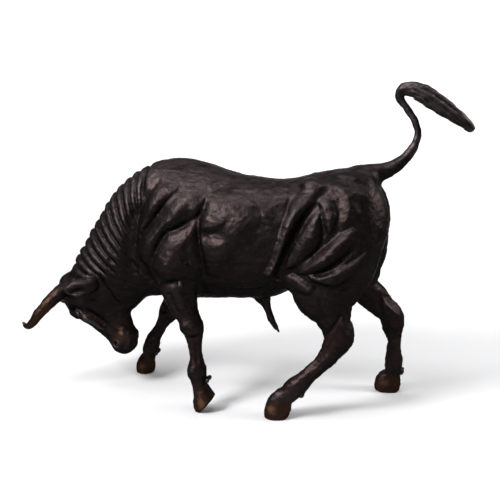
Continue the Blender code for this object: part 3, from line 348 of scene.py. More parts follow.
# Carved lines on both sides: height, half width left and right of the line, then x, z points
BODY_LINES = [
    (-0.9, 1.2, 1, [
        (-34.5, 91.3), (-37.4, 87.3), (-40.3, 83), (-42.2, 78.5), (-43.2, 72.4), (-44, 66.2),
        (-44.6, 61),
    ]),
    (-2.2, 4.6, 3, [(-41, 85), (-43.6, 77), (-45, 69), (-46.4, 60), (-46, 52)]),
    (-0.9, 1, 1.5, [(-28.4, 85), (-30.9, 81.8), (-33.4, 78.4), (-36.6, 74.4), (-40.4, 70.8)]),
    (-0.6, 1.1, 1.1, [
        (-13.5, 81.8), (-17, 79), (-19.1, 77.5), (-24.2, 74.3), (-28.4, 72.7), (-30.9, 69.4),
        (-33.3, 65.1), (-35.4, 60),
    ]),
    (-0.8, 1.5, 1.2, [
        (-10.2, 89.3), (-14.4, 82.5), (-15.8, 78), (-15.9, 70.5), (-14.6, 64), (-14.2, 56.3),
        (-17, 51.6),
    ]),
    (0.4, 0.7, 0.7, [(-14.4, 77.4), (-14.3, 71), (-13.2, 64.6)]),
    (-0.9, 3, 3, [(-12.5, 92.5), (-18, 84.5), (-21, 78.5)]),
    (-1, 1, 1.6, [(-33.5, 49.4), (-30.1, 52), (-26.3, 53.4), (-22.8, 54.2)]),
    (-0.5, 1.6, 1.6, [(-20.6, 72.5), (-20, 66), (-19, 58.5)]),
    (0.9, 1.3, 1.3, [(-24.2, 52.4), (-22, 53)]),
    (0.7, 1.5, 1.5, [(-19.5, 56), (-17.2, 51.5)]),
    (-0.6, 1.4, 1.4, [(-11.5, 88.7), (-6.3, 91.1), (-1.2, 92.4), (6, 92)]),
    (-0.6, 1.8, 2.4, [(-14.4, 73), (-9, 73.4), (-4, 73)]),
    (-0.3, 3, 4, [(-14, 61.8), (-4, 60.5), (6, 59)]),
    (-1.5, 1, 2.8, [(-15, 51.4), (-4, 50.8), (5, 50.9), (11.5, 53)]),
    (-0.9, 1.2, 2, [(28.6, 83.8), (26, 80.2), (23, 75.4), (20.2, 70), (17.4, 64.2), (14.8, 57.6)]),
    (-0.5, 1, 1, [(17.8, 91.5), (18.4, 85.5), (17.4, 80.5)]),
    (-0.7, 1, 2.2, [(29, 95.2), (34, 94.6), (40, 93.4), (46, 91.8)]),
    (0.7, 1.3, 1.8, [(28.5, 92.4), (34, 91.8), (40, 90.4), (46, 88)]),
    (-0.8, 1, 1.4, [(-47.5, 60), (-45, 56.5), (-44, 53)]),
    (-0.8, 0.9, 1.2, [(-41, 55), (-38, 51.5), (-35.5, 48.5)]),
    (-1.3, 1.5, 1.5, [(-61, 51), (-58.5, 45.5), (-56, 40.5), (-55, 35.5)]),
    (1.5, 1, 1.3, [(-72.4, 33.6), (-69.4, 32.2), (-65.6, 29.9), (-61, 26.2)]),
    (-1.3, 1.4, 1.4, [(-70.8, 36.4), (-66.4, 34.2), (-62, 30.4), (-58.6, 26.4)]),
    (-0.6, 0.8, 0.8, [(-77.4, 36.6), (-75.4, 36.4), (-73.2, 36.6), (-71.2, 35.2)]),
    (-0.9, 0.6, 0.6, [(-55.4, 17.4), (-53.6, 20.2), (-52.8, 23.6), (-53.8, 27.6)]),
    (0.7, 0.7, 0.7, [(-52.6, 19.8), (-51.8, 22.6), (-52.4, 26.8)]),
    (0.8, 1.2, 1.2, [(-57.4, 27.4), (-55, 28.2), (-53.8, 26.2)]),
]

# Lines of the thigh and hind leg, swung back on the far leg like its muscles
THIGH_LINES = [
    (-0.5, 0.9, 0.9, [(30.4, 83.6), (31.2, 79), (31.8, 74), (30.8, 69)]),
    (-0.7, 1.5, 1.1, [(39.4, 77.6), (36.4, 74.4), (32.9, 70.7), (28.6, 66.8), (23.8, 62.9)]),
    (-0.8, 1.1, 1.3, [(44.9, 70.9), (41, 67.2), (37.2, 63.4), (32.8, 60.5), (27.4, 59)]),
    (-0.8, 1.2, 1.8, [(25.4, 55.8), (29.4, 54.8), (35.4, 53.4), (40.4, 55), (45, 58.6)]),
    (-0.9, 0.8, 0.8, [(39.4, 44.5), (37.4, 40.5), (34.4, 35.4)]),
    (0.8, 0.9, 0.9, [(39.2, 41.6), (41, 37.6), (43, 34.8)]),
    (-0.6, 0.9, 0.9, [(41.2, 44), (42.6, 39.4)]),
    (-0.6, 1, 1, [(30.6, 50), (32.4, 44.5), (34.4, 40)]),
    (-0.6, 0.8, 0.8, [(36, 33), (34, 29), (31, 25), (27, 20.5)]),
]

# Lines of the foreleg, drawn on the near leg and swung forward on the far one
FORELEG_LINES = [
    (-0.7, 1, 1, [(-28.6, 50), (-26, 44), (-23.4, 39)]),
    (0.6, 1.4, 1.4, [(-24, 52), (-23, 46), (-21.4, 41)]),
    (0.7, 1.4, 1.4, [(-23.6, 35.4), (-20.6, 36.2), (-18, 35.2)]),
    (-0.6, 0.9, 0.9, [(-24, 31.8), (-20.6, 31), (-16.8, 31.6)]),
    (-0.6, 0.8, 0.8, [(-18, 30), (-17.6, 25), (-17.2, 20)]),
    (0.5, 1.4, 1.4, [(-20.4, 17.6), (-17.6, 18)]),
]

# Muscles of the shoulder and hip fade out towards the back between these heights
MUSCLE_FADE = (83, 94.5)

# Finer lines than the solid has, written the same way
FINE_LINES = [
    (0.5, 0.45, 0.45, [(-51.9, 27.4), (-51.2, 24.8), (-50.7, 22.4)]),
    (0.45, 0.4, 0.4, [(-53.3, 25.8), (-52.4, 23.4), (-51.6, 20.8)]),
    (-0.4, 0.5, 0.5, [(-54.4, 24.4), (-53.2, 22), (-52.6, 19.4)]),
    (-0.35, 0.6, 0.6, [(-58, 49), (-54, 46.5), (-49.5, 46)]),
    (-0.35, 0.6, 0.6, [(-57, 53), (-52, 50.5), (-47, 50)]),
    (-0.35, 0.6, 0.6, [(-52, 57), (-48, 54.5), (-44, 54)]),
    (0.35, 0.7, 0.7, [(-49, 62), (-46.5, 57.5), (-42, 53)]),
    (-0.3, 0.5, 0.5, [(-43, 47.5), (-40, 50.5), (-37, 52)]),
    (-0.3, 0.6, 0.6, [(-8, 90), (-2, 88.6), (4, 88.4)]),
    (0.3, 0.8, 0.8, [(2, 86), (8, 83), (12, 78)]),
    (-0.3, 0.6, 0.6, [(32, 52), (33.4, 46), (35.6, 41)]),
]

# Strands of the tail tuft
STRANDS = [
    (-0.55, 0.45, 0.45, [(59, 128.6), (63, 128), (67.6, 126.2), (73, 122.6), (78.6, 118.4)]),
    (-0.6, 0.4, 0.4, [
        (58.4, 126.6), (62.6, 126.6), (67, 124.8), (72.4, 121.2), (77.6, 117.4), (82.4, 113.6),
    ]),
    (-0.55, 0.4, 0.4, [(60, 125.4), (64, 124.6), (69.4, 121.8), (74.6, 118.2)]),
    (-0.5, 0.4, 0.4, [(61, 124.6), (65, 122.8), (68, 120.8)]),
    (-0.5, 0.35, 0.35, [(66, 127.4), (71, 124.6), (76, 120.8), (80.4, 117.2)]),
    (-0.5, 0.35, 0.35, [(70, 120.4), (75, 117.2), (80, 113.8), (83.6, 111.6)]),
    (0.4, 0.6, 0.6, [(60, 127.6), (64, 125.4), (66.6, 122.4), (67.4, 119.8)]),
]

# Unevenness left by the modeller's hands: size of the waves and their height, in points,
# then the number of crossing waves of each size and how far each one winds
HAND_WAVES = [(6.5, 0.24), (3.1, 0.19), (1.5, 0.085)]
WAVE_COUNT = 14
WAVE_BEND = 2.4
# The span of lengths within one size, and the length of the winding, as shares of the size
WAVE_SPAN = (0.8, 1.3)
SWIRL_SIZE = 2.7
# The hand-worked waves are left out at coarse stages, whose margin is above this
WAVE_MARGIN = 2.5

# Folds of the neck
FOLD_COUNT = 13
FOLD_DEPTH = 2.1
FOLD_SPACE = 5.4
FOLD_ROUNDNESS = 2.6
CREST = [
    (-41.5, 97.4), (-46.5, 94.8), (-51.6, 90.2), (-55.7, 86.4), (-59.1, 83.1), (-63.4, 77.6),
    (-66.4, 72.1), (-70.1, 67.1), (-73.3, 60.9), (-75.9, 55.2),
]
FOLD_ENDS = [
    (-40.6, 80.2), (-41.1, 77.8), (-41.8, 75.2), (-43, 72.6), (-44.6, 69.8), (-45.6, 66.6), (-46.4, 63),
    (-47.4, 59), (-49.6, 54.4), (-53.6, 50.4), (-61, 49.6),
]
# How far a fold sags, how far it starts beyond the crest and where along it the crease fades out
FOLD_SAG = 0.4
FOLD_START = 0.15
FOLD_FADE = (0.66, 1.0)

# Relief is full beyond the second of these distances from the middle plane and nil within the first
RELIEF_FADE = (2.5, 7.0)
# Relief swings with the far legs from the first x to the second, and by their stand at these heights
FORE_SWING = (4, 16)
HIND_SWING = (12, 26)
SWING_HEIGHTS = np.linspace(20, 84, 17)

# Sampling: how many times finer each stage is, the band around the surface that it takes up again
# and the margin of the masses there, both in steps, and the space around the figure, in points
STAGES = (4, 3)
STAGE_BAND = 1.3
STAGE_MARGIN = 4
BOX_MARGIN = 2.0
BOX_BOTTOM = -3.0
MOST_UNTANGLING = 12

# The edges of one cell of the sampled grid: axis and near corner
CELL_EDGES = [
    (axis, tuple(np.insert((i, j), axis, 0)))
    for axis in range(3)
    for i in (0, 1)
    for j in (0, 1)
]


def smooth_min(a, b, blend):
    """The lesser of two distances, rounded where they are within blend of each other."""
    share = np.maximum(blend - np.abs(a - b), 0) / blend
    return np.minimum(a, b) - share * share * blend * 0.25


def smooth_max(a, b, blend):
    return -smooth_min(-a, -b, blend)


def through(rows, steps):
    """A Catmull-Rom curve through the rows, with the given steps in each span."""
    rows = np.array(rows, float)
    padded = np.vstack([2 * rows[0] - rows[1], rows, 2 * rows[-1] - rows[-2]])
    share = np.linspace(0, 1, steps, endpoint=False)[:, None]
    curve = []
    for a, b, c, d in zip(padded, padded[1:], padded[2:], padded[3:]):
        bend = (2 * a - 5 * b + 4 * c - d) * share**2
        twist = (3 * b - a - 3 * c + d) * share**3
        curve.append(b + 0.5 * ((c - a) * share + bend + twist))
    return np.vstack([*curve, rows[-1:]])


class Sweep:
    """A limb: an ellipse whose centre and two half axes follow a curve."""

    def __init__(self, rows, steps=4):
        curve = through(rows, steps)
        self.centre = curve[:, [0, 2, 1]]
        self.half = np.maximum(curve[:, 3:5], 0.05)

    def bounds(self):
        reach = self.half.max(axis=1)[:, None]
        return (self.centre - reach).min(axis=0), (self.centre + reach).max(axis=0)

    def distance(self, points):
        nearest = np.full(len(points), FAR, np.float32)
        centre = self.centre.astype(np.float32)
        half = self.half.astype(np.float32)
        for start, end, size, grown in zip(centre, centre[1:], half, half[1:]):
            axis = end - start
            offset = points - start
            share = np.clip(offset @ axis / (axis @ axis), 0, 1)[:, None]
            offset -= share * axis
            size = size + share * (grown - size)
            reach = np.einsum("ij,ij->i", offset, offset)
            across = offset[:, 1] ** 2
            ratio = (reach - across) / size[:, 0] ** 2 + across / size[:, 1] ** 2
            ratio = np.sqrt(np.maximum(ratio, 1e-6))
            reach = np.sqrt(reach)
            found = np.where(ratio < 2e-3, -size.min(axis=1), reach - reach / ratio)
            np.minimum(nearest, found, out=nearest)
        return nearest


def between(rows):
    """Sweep rows from pairs of outline points: x, z of one edge, x, z of the other, half width."""
    return [
        ((x + other_x) / 2, (z + other_z) / 2, 0, math.hypot(other_x - x, other_z - z) / 2, width)
        for x, z, other_x, other_z, width in rows
    ]


class Torso:
    """The barrel: a superellipse whose top, bottom and width follow the length."""

    SQUARENESS = 2.25

    def __init__(self, rows):
        curve = through(rows, 4)
        self.x, self.top, self.bottom, self.width = curve.T

    def bounds(self):
        reach = self.width.max()
        low = (self.x[0] - reach, -reach, self.bottom.min())
        return np.array(low), np.array((self.x[-1] + reach, reach, self.top.max()))

    def distance(self, points):
        x = np.clip(points[:, 0], self.x[0], self.x[-1])
        top, bottom, width = (
            np.interp(x, self.x, row) for row in (self.top, self.bottom, self.width)
        )
        middle = (top + bottom) / 2
        height = (top - bottom) / 2
        beyond = points[:, 0] - x
        beyond = beyond / np.where(beyond < 0, CHEST_END, RUMP_END)
        side = np.abs(points[:, 1]) / width
        rise = np.abs(points[:, 2] - middle) / height
        power = self.SQUARENESS
        ratio = (side**power + rise**power + np.abs(beyond) ** power) ** (1 / power)
        ratio = np.maximum(ratio, 1e-3)
        reach = np.sqrt(
            (points[:, 0] - x) ** 2 + points[:, 1] ** 2 + (points[:, 2] - middle) ** 2
        )
        return np.where(ratio < 5e-3, -width, reach - reach / ratio)


class Hoof:
    """A cloven hoof: it swells below the coronet and is cut by the plane of its sole."""

    # How far it goes on below the sole before the cut, and the rounding of the cut's rim
    BELOW_SOLE = 2.5
    RIM = 1.5

    def __init__(self, x, z, depth, wide_x, wide_z, swell, toe_x, toe_z, heel_x, heel_z, y):
        toe = np.array((toe_x, y, toe_z))
        heel = np.array((heel_x, y, heel_z))
        along = heel - toe
        length = np.linalg.norm(along)
        along /= length
        self.down = np.array((along[2], 0, -along[0]))
        if self.down @ (np.array((x, y, z)) - toe) > 0:
            self.down = -self.down
        self.toe = toe
        self.y = y
        middle = (toe + heel) / 2
        below = middle + self.down * self.BELOW_SOLE
        self.sweep = Sweep(
            [
                (x, z, y, depth, CORONET_HALF_WIDTH),
                (wide_x, wide_z, y, swell, HOOF_HALF_WIDTH),
                (middle[0], middle[2], y, length / 2, HOOF_HALF_WIDTH),
                (below[0], below[2], y, length / 2, HOOF_HALF_WIDTH),
            ],
            3,
        )

    def bounds(self):
        return self.sweep.bounds()

    def distance(self, points):
        cone = self.sweep.distance(points)
        aside = (points[:, 1] - self.y) / CLEFT_HALF_WIDTH
        cone += CLEFT_DEPTH * np.exp(-(aside**2))
        return smooth_max(cone, (points - self.toe) @ self.down, self.RIM)


class Ball:
    """An ellipsoid: centre x, z, y and half sizes along x, z and y, turned in the side view."""

    def __init__(self, centre, half, turn):
        self.centre = np.array((centre[0], centre[2], centre[1]), float)
        self.half = half
        self.turn = math.radians(turn)

    def bounds(self):
        reach = max(self.half)
        return self.centre - reach, self.centre + reach

    def distance(self, points):
        offset = points - self.centre
        cos, sin = math.cos(self.turn), math.sin(self.turn)
        along = offset[:, 0] * cos + offset[:, 2] * sin
        rise = offset[:, 2] * cos - offset[:, 0] * sin
        long, tall, wide = self.half
        ratio = np.sqrt((along / long) ** 2 + (rise / tall) ** 2 + (offset[:, 1] / wide) ** 2)
        ratio = np.maximum(ratio, 1e-3)
        reach = np.sqrt(np.einsum("ij,ij->i", offset, offset))
        return np.where(ratio < 5e-3, -min(self.half), reach - reach / ratio)


def mirrored(rows):
    """The same rows on the near side: y turned over."""
    return [(x, z, -y, *rest) for x, z, y, *rest in rows]


def lifted(rows, lift):
    """The same rows raised from the third row on, with half the lift at the second."""
    return [(x, z + min(i, 2) / 2 * lift, *rest) for i, (x, z, *rest) in enumerate(rows)]


def balls(rows, sides):
    """An ellipsoid and the width of its blend for each row and side."""
    for x, z, y, *half, turn, blend in rows:
        for side in sides:
            yield Ball((x, z, y * side), half, turn), blend


def masses():
    """Every mass of the figure with the width of its blend into the rest."""
    yield Torso(TORSO), 1.0
    yield Sweep(between(NECK)), 5.0
    yield Sweep(between(HEAD)), 2.5
    for rows in (FORELEG_NEAR, FORELEG_FAR):
        yield Sweep(rows), 3.0
    for rows in (HINDLEG_NEAR, HINDLEG_FAR):
        yield Sweep(rows), 3.5
    for rows in (mirrored(HORN), lifted(HORN, FAR_HORN_LIFT)):
        yield Sweep(rows), 1.2
    for rows in (mirrored(EAR), EAR):
        yield Sweep(rows), 0.8
    yield Sweep(TAIL), 3.6
    yield Sweep(TUFT), 0.8
    yield Sweep(SHEATH), 1.6
    for row in HOOVES:
        yield Hoof(*row), 0.5
    for x, z, y, aside in DEWCLAWS:
        for side in (-aside, aside):
            yield Ball((x, z, y + side), (1.0, 1.3, 0.9), -30), 0.6
    yield from balls(MIDDLES, (FAR_SIDE,))
    yield from balls(KNOBS, (NEAR_SIDE, FAR_SIDE))


class Line:
    """A carved line in the side view: raised if its height is positive, else a groove."""

    # Half widths that it reaches, the share of its length that tapers, and its height at the ends
    REACH = 2.4
    END_TAPER = 0.22
    END_HEIGHT = 0.35

    def __init__(self, height, left, right, line):
        self.height = height
        self.widths = (left, right)
        self.curve = through(line, 4).astype(np.float32)
        lengths = np.linalg.norm(np.diff(self.curve, axis=0), axis=1)
        self.along = np.concatenate([[0], np.cumsum(lengths)]) / lengths.sum()

    def bounds(self):
        reach = self.REACH * max(self.widths)
        low, high = self.curve.min(axis=0) - reach, self.curve.max(axis=0) + reach
        return (low[0], -FAR, low[1]), (high[0], FAR, high[1])

    def rise(self, x, z):
        """How far the line lifts the surface at each x and z of the side view."""
        nearest, share, side = nearest_on(self.curve, self.along, x, z)
        left, right = self.widths
        width = (left + right) / 2 + (left - right) / 2 * np.clip(side, -1, 1)
        taper = np.clip(np.minimum(share, 1 - share) / self.END_TAPER, 0, 1)
        taper = self.END_HEIGHT + (1 - self.END_HEIGHT) * taper * taper * (3 - 2 * taper)
        return self.height * taper * np.exp(-((nearest / width) ** 2))


def nearest_on(curve, along, x, z):
    """Distance to the curve, the share of its length at the nearest spot, and the side of it."""
    nearest = np.full(len(x), FAR, np.float32)
    share = np.zeros(len(x), np.float32)
    side = np.zeros(len(x), np.float32)
    for start, end, first, last in zip(curve, curve[1:], along, along[1:]):
        run, climb = end - start
        dx, dz = x - start[0], z - start[1]
        part = np.clip((dx * run + dz * climb) / (run * run + climb * climb), 0, 1)
        off = np.hypot(dx - part * run, dz - part * climb)
        closer = off < nearest
        nearest = np.where(closer, off, nearest)
        share = np.where(closer, first + part * (last - first), share)
        across = (run * dz - climb * dx) / math.hypot(run, climb)
        side = np.where(closer, across / np.maximum(off, 1e-4), side)
    return nearest, share, side


class Folds:
    """Rolls of loose skin: the surface swells between creases that run down from the crest."""

    def __init__(self):
        self.creases = []
        starts = spread(CREST, FOLD_COUNT)
        ends = spread(FOLD_ENDS, FOLD_COUNT)
        for start, end in zip(starts, ends):
            middle = (start + end) / 2
            run, climb = end - start
            sag = np.array((climb, -run)) / math.hypot(run, climb) * FOLD_SAG
            beyond = start + (start - middle) * FOLD_START
            self.creases.append(Line(1, 1, 1, [beyond, middle + sag, end]))

    def bounds(self):
        lows, highs = zip(*(line.bounds() for line in self.creases))
        return np.min(lows, axis=0), np.max(highs, axis=0)

    def rise(self, x, z):
        first = np.full(len(x), FAR, np.float32)
        second = first.copy()
        share = np.zeros(len(x), np.float32)
        for line in self.creases:
            off, part, _ = nearest_on(line.curve, line.along, x, z)
            closer = off < first
            second = np.where(closer, first, np.minimum(second, off))
            share = np.where(closer, part, share)
            first = np.where(closer, off, first)
        space = np.minimum(first + second, FOLD_SPACE)
        dip = np.clip(1 - 2 * first / space, 0, 1) ** FOLD_ROUNDNESS
        fade = 1 - smooth_step(share, *FOLD_FADE)
        return -FOLD_DEPTH * space / FOLD_SPACE * dip * fade


class Muscle:
    """A muscle in the side view: the surface swells inside its outline, rounded at the edge."""

    def __init__(self, height, edge, softness, outline, steps=3):
        self.height = height
        self.edge = edge
        self.softness = softness
        around = through([outline[-1], *outline, *outline[:2]], steps)
        self.curve = around[steps : -steps].astype(np.float32)

    def bounds(self):
        low, high = self.curve.min(axis=0), self.curve.max(axis=0)
        return (low[0], -FAR, low[1]), (high[0], FAR, high[1])

    def rise(self, x, z):
        off = nearest_on(self.curve, np.zeros(len(self.curve)), x, z)[0]
        inside = np.zeros(len(x), bool)
        for (x0, z0), (x1, z1) in zip(self.curve, self.curve[1:]):
            if z0 != z1:
                crossed = ((z0 > z) != (z1 > z)) & (x < x0 + (z - z0) / (z1 - z0) * (x1 - x0))
                inside ^= crossed
        dome = (1 - (1 - np.clip(off / self.edge, 0, 1)) ** 2) ** self.softness
        return self.height * inside * dome


def spread(rows, count):
    """Points at equal spaces along a curve."""
    curve = through(rows, 8)
    lengths = np.concatenate([[0], np.cumsum(np.linalg.norm(np.diff(curve, axis=0), axis=1))])
    stops = np.linspace(0, lengths[-1], count)
    return np.stack([np.interp(stops, lengths, curve[:, i]) for i in (0, 1)], -1)


def smooth_step(value, low, high):
    share = np.clip((value - low) / (high - low), 0, 1)
    return share * share * (3 - 2 * share)


def swing(z, near_rows, far_rows):
    """How far the far leg stands behind the near one at each height."""
    near, far = (
        np.interp(SWING_HEIGHTS, *zip(*sorted((row[1], row[0]) for row in rows)))
        for rows in (near_rows, far_rows)
    )
    return np.interp(z, SWING_HEIGHTS, far - near)


class Field:
    """Distances to the figure at a set of points that are sorted by x."""

    def __init__(self, points):
        self.points = points
        self.value = np.full(len(points), FAR, np.float32)

    def within(self, low, high, margin):
        x = self.points[:, 0]
        first, last = np.searchsorted(x, (low[0] - margin, high[0] + margin))
        part = self.points[first:last]
        inside = (part[:, 1] > low[1] - margin) & (part[:, 1] < high[1] + margin)
        inside &= (part[:, 2] > low[2] - margin) & (part[:, 2] < high[2] + margin)
        return first + np.nonzero(inside)[0]

    def add(self, mass, blend, margin):
        chosen = self.within(*mass.bounds(), blend + margin)
        found = mass.distance(self.points[chosen])
        self.value[chosen] = smooth_min(self.value[chosen], found, blend)

    def cut(self, mass, blend):
        chosen = self.within(*mass.bounds(), blend)
        found = mass.distance(self.points[chosen])
        self.value[chosen] = smooth_max(self.value[chosen], -found, blend)

    def carve(self, line, x, weight):
        low, high = line.bounds()
        z = self.points[:, 2]
        chosen = np.nonzero((x > low[0]) & (x < high[0]) & (z > low[2]) & (z < high[2]))[0]
        weight = weight if np.isscalar(weight) else weight[chosen]
        self.value[chosen] -= weight * line.rise(x[chosen], z[chosen])


def distances(points, margin):
    """Distance from each point to the surface of the whole figure, relief included."""
    field = Field(points)
    for mass, blend in masses():
        field.add(mass, blend, margin)
    for mass, blend in balls(HOLLOWS, (NEAR_SIDE, FAR_SIDE)):
        field.cut(mass, blend)
    side = smooth_step(np.abs(points[:, 1]), *RELIEF_FADE)
    far = points[:, 1] > 0
    x, z = points[:, 0], points[:, 2]
    fore = swing(z, FORELEG_NEAR, FORELEG_FAR) * smooth_step(-x, *FORE_SWING)
    hind = swing(z, HINDLEG_NEAR, HINDLEG_FAR) * smooth_step(x, *HIND_SWING)
    behind = np.where(far, x - hind, x)
    ahead = np.where(far, x - fore, x)
    field.carve(Folds(), x, 1)
    fleshy = side * (1 - smooth_step(z, *MUSCLE_FADE))
    for kind, rows, place, weight in (
        (Muscle, MUSCLES, x, fleshy),
        (Muscle, THIGH_MUSCLES, behind, fleshy),
        (Line, BODY_LINES, x, side),
        (Line, THIGH_LINES, behind, side),
        (Line, FORELEG_LINES, ahead, side),
        (Line, FINE_LINES, x, side),
        (Line, STRANDS, x, 1),
    ):
        for row in rows:
            field.carve(kind(*row), place, weight)
    if margin < WAVE_MARGIN:
        for size, height in HAND_WAVES:
            field.value -= height * waves(points, size)
    return field.value


def figure_box():
    lows, highs = zip(*(mass.bounds() for mass, _ in masses()))
    low = np.min(lows, axis=0)
    low[2] = max(low[2], BOX_BOTTOM)
    return low - BOX_MARGIN, np.max(highs, axis=0) + BOX_MARGIN


def waves(points, size):
    """Soft uneven waves of about the given size, mostly between -0.6 and 0.6."""
    rng = np.random.default_rng(int(size * 100))
    total = np.zeros(len(points), np.float32)
    for _ in range(WAVE_COUNT):
        direction = rng.normal(size=3)
        direction *= rng.uniform(*WAVE_SPAN) * 2 * math.pi / size / np.linalg.norm(direction)
        swirl = rng.normal(size=3)
        swirl *= 2 * math.pi / (size * SWIRL_SIZE) / np.linalg.norm(swirl)
        phase = rng.uniform(0, 2 * math.pi, 2)
        bend = WAVE_BEND * np.sin(points @ swirl.astype(np.float32) + np.float32(phase[0]))
        total += np.sin(points @ direction.astype(np.float32) + bend + np.float32(phase[1]))
    return total / math.sqrt(7 * WAVE_COUNT)


def sampled(step):
    """Distances on a regular grid, made finer in stages, each only near the surface."""
    low, high = figure_box()
    coarse = step * math.prod(STAGES)
    count = np.ceil((high - low) / coarse).astype(int) + 1
    axes = [low[i] + coarse * np.arange(count[i]) for i in range(3)]
    grid = np.stack(np.meshgrid(*axes, indexing="ij"), -1).reshape(-1, 3)
    values = distances(grid.astype(np.float32), STAGE_MARGIN * coarse).reshape(count)
    for times in STAGES:
        for axis in range(3):
            values = stretched(values, times, axis)
        band = coarse * STAGE_BAND
        coarse /= times
        axes = [low[i] + coarse * np.arange(values.shape[i]) for i in range(3)]
        near = np.nonzero(np.abs(values) < band)
        points = np.stack([axes[i][near[i]] for i in range(3)], -1).astype(np.float32)
        values[near] = distances(points, STAGE_MARGIN * coarse)
    return untangled(values), low


def stretched(values, times, axis):
    """The values with times - 1 in-between ones along one axis."""
    values = np.moveaxis(values, axis, 0)
    out = np.empty(((len(values) - 1) * times + 1, *values.shape[1:]), np.float32)
    for i in range(times):
        share = i / times
        out[i : len(out) - 1 : times] = values[:-1] * (1 - share) + values[1:] * share
    out[-1] = values[-1]
    return np.moveaxis(out, 0, axis)


def corners_of(shape, axes):
    """The slices of a grid that pick both ends of every step along the given axes."""
    return [
        tuple(slice(offset[i], shape[i] - (i in axes) + offset[i]) for i in range(3))
        for offset in np.ndindex(*(1 + (axis in axes) for axis in range(3)))
    ]


def untangled(values):
    """The values with the rare cells filled in which two sheets of surface would meet."""
    for _ in range(MOST_UNTANGLING):
        inside = values < 0
        knotted = np.zeros(values.shape, bool)
        for axes in ((0, 1), (0, 2), (1, 2)):
            picks = corners_of(values.shape, axes)
            a, b, c, d = (inside[pick] for pick in picks)
            knot = (a == d) & (b == c) & (a != b)
            for pick in picks:
                knotted[pick] |= knot
        picks = corners_of(values.shape, (0, 1, 2))
        count = sum(inside[pick].astype(np.int8) for pick in picks)
        for one, other in zip(picks[:4], picks[:3:-1]):
            same = inside[one] == inside[other]
            knot = same & (count == np.where(inside[one], 2, 6))
            for pick in picks:
                knotted[pick] |= knot
        knotted &= ~inside
        if not knotted.any():
            break
        values[knotted] = -1e-3
    return values


def surface(values, low, step):
    """Points and quads of the zero surface: one point in each cell that it crosses."""
    inside = values < 0
    shape = tuple(n - 1 for n in values.shape)
    corners = np.zeros(shape, np.int8)
    for i, j, k in np.ndindex(2, 2, 2):
        corners += inside[i : shape[0] + i, j : shape[1] + j, k : shape[2] + k]
    cell = np.nonzero((corners > 0) & (corners < 8))
    number = np.full(shape, -1, np.int32)
    number[cell] = np.arange(len(cell[0]))
    total = np.zeros((len(cell[0]), 3))
    hits = np.zeros(len(cell[0]))
    for axis, corner in CELL_EDGES:
        start = tuple(c + o for c, o in zip(cell, corner))
        end = tuple(s + (i == axis) for i, s in enumerate(start))
        a, b = values[start], values[end]
        crossed = (a < 0) != (b < 0)
        share = a[crossed] / (a[crossed] - b[crossed])
        spot = np.stack([s[crossed] for s in start], -1).astype(float)
        spot[:, axis] += share
        total[crossed] += spot
        hits[crossed] += 1
    points = total / hits[:, None] * step + low
    quads = []
    for axis in range(3):
        u, v = (axis + 1) % 3, (axis + 2) % 3
        here = [slice(1, n) for n in shape]
        here[axis] = slice(0, shape[axis])
        after = list(here)
        after[axis] = slice(1, shape[axis] + 1)
        first, last = inside[tuple(here)], inside[tuple(after)]
        for turned, found in ((False, first & ~last), (True, ~first & last)):
            at = np.array(np.nonzero(found))
            ring = []
            for du, dv in ((1, 1), (0, 1), (0, 0), (1, 0)):
                spot = at.copy()
                spot[u] += du
                spot[v] += dv
                ring.append(number[tuple(spot)])
            ring = np.stack(ring, -1)
            quads.append(ring[:, ::-1] if turned else ring)
    return points, np.vstack(quads)


def added(name, data):
    """A new object in the scene."""
    body = bpy.data.objects.new(name, data)
    bpy.context.scene.collection.objects.link(body)
    return body


def mesh_of(points, quads):
    """A mesh from points and quads, written in bulk."""
    mesh = bpy.data.meshes.new("bull_bronze")
    mesh.vertices.add(len(points))
    mesh.vertices.foreach_set("co", (points * UNIT).astype(np.float32).ravel())
    mesh.loops.add(quads.size)
    mesh.loops.foreach_set("vertex_index", quads.astype(np.int32).ravel())
    mesh.polygons.add(len(quads))
    mesh.polygons.foreach_set("loop_start", np.arange(0, quads.size, 4, dtype=np.int32))
    mesh.update(calc_edges=True)
    return mesh


def thinned(mesh, budget):
    """The mesh with its flattest edges collapsed until it fits the triangle budget."""
    body = added("thinned", mesh)
    collapse = body.modifiers.new("collapse", "DECIMATE")
    collapse.ratio = min(1.0, budget / (2 * len(mesh.polygons)))
    collapse.use_collapse_triangulate = True
    graph = bpy.context.evaluated_depsgraph_get()
    result = bpy.data.meshes.new_from_object(body.evaluated_get(graph))
    bpy.data.objects.remove(body)
    return result


def trimmed(mesh):
    """The mesh cut flat at the ground, which closes each hoof with a level sole."""
    work = bmesh.new()
    work.from_mesh(mesh)
    everything = work.verts[:] + work.edges[:] + work.faces[:]
    cut = bmesh.ops.bisect_plane(
        work, geom=everything, dist=1e-6, plane_co=(0, 0, 0), plane_no=(0, 0, -1), clear_outer=True
    )
    rim = [item for item in cut["geom_cut"] if isinstance(item, bmesh.types.BMEdge)]
    bmesh.ops.holes_fill(work, edges=rim, sides=0)
    bmesh.ops.triangulate(work, faces=[face for face in work.faces if len(face.verts) > 3])
    work.to_mesh(mesh)
    work.free()
    return mesh


def read(items, name):
    """Three numbers of each item of a mesh, one row an item."""
    values = np.empty(3 * len(items))
    items.foreach_get(name, values)
    return values.reshape(-1, 3)


def placed(mesh):
    """The mesh moved so that its box has its middle where the solid's box has it."""
    spots = read(mesh.vertices, "co")
    low, high = np.array(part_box("bull"))
    spots[:, :2] += ((low + high) / 2 - (spots.min(axis=0) + spots.max(axis=0)) / 2)[:2]
    mesh.vertices.foreach_set("co", spots.ravel())
    mesh.polygons.foreach_set("use_smooth", np.ones(len(mesh.polygons), bool))
    mesh.update()
    return mesh


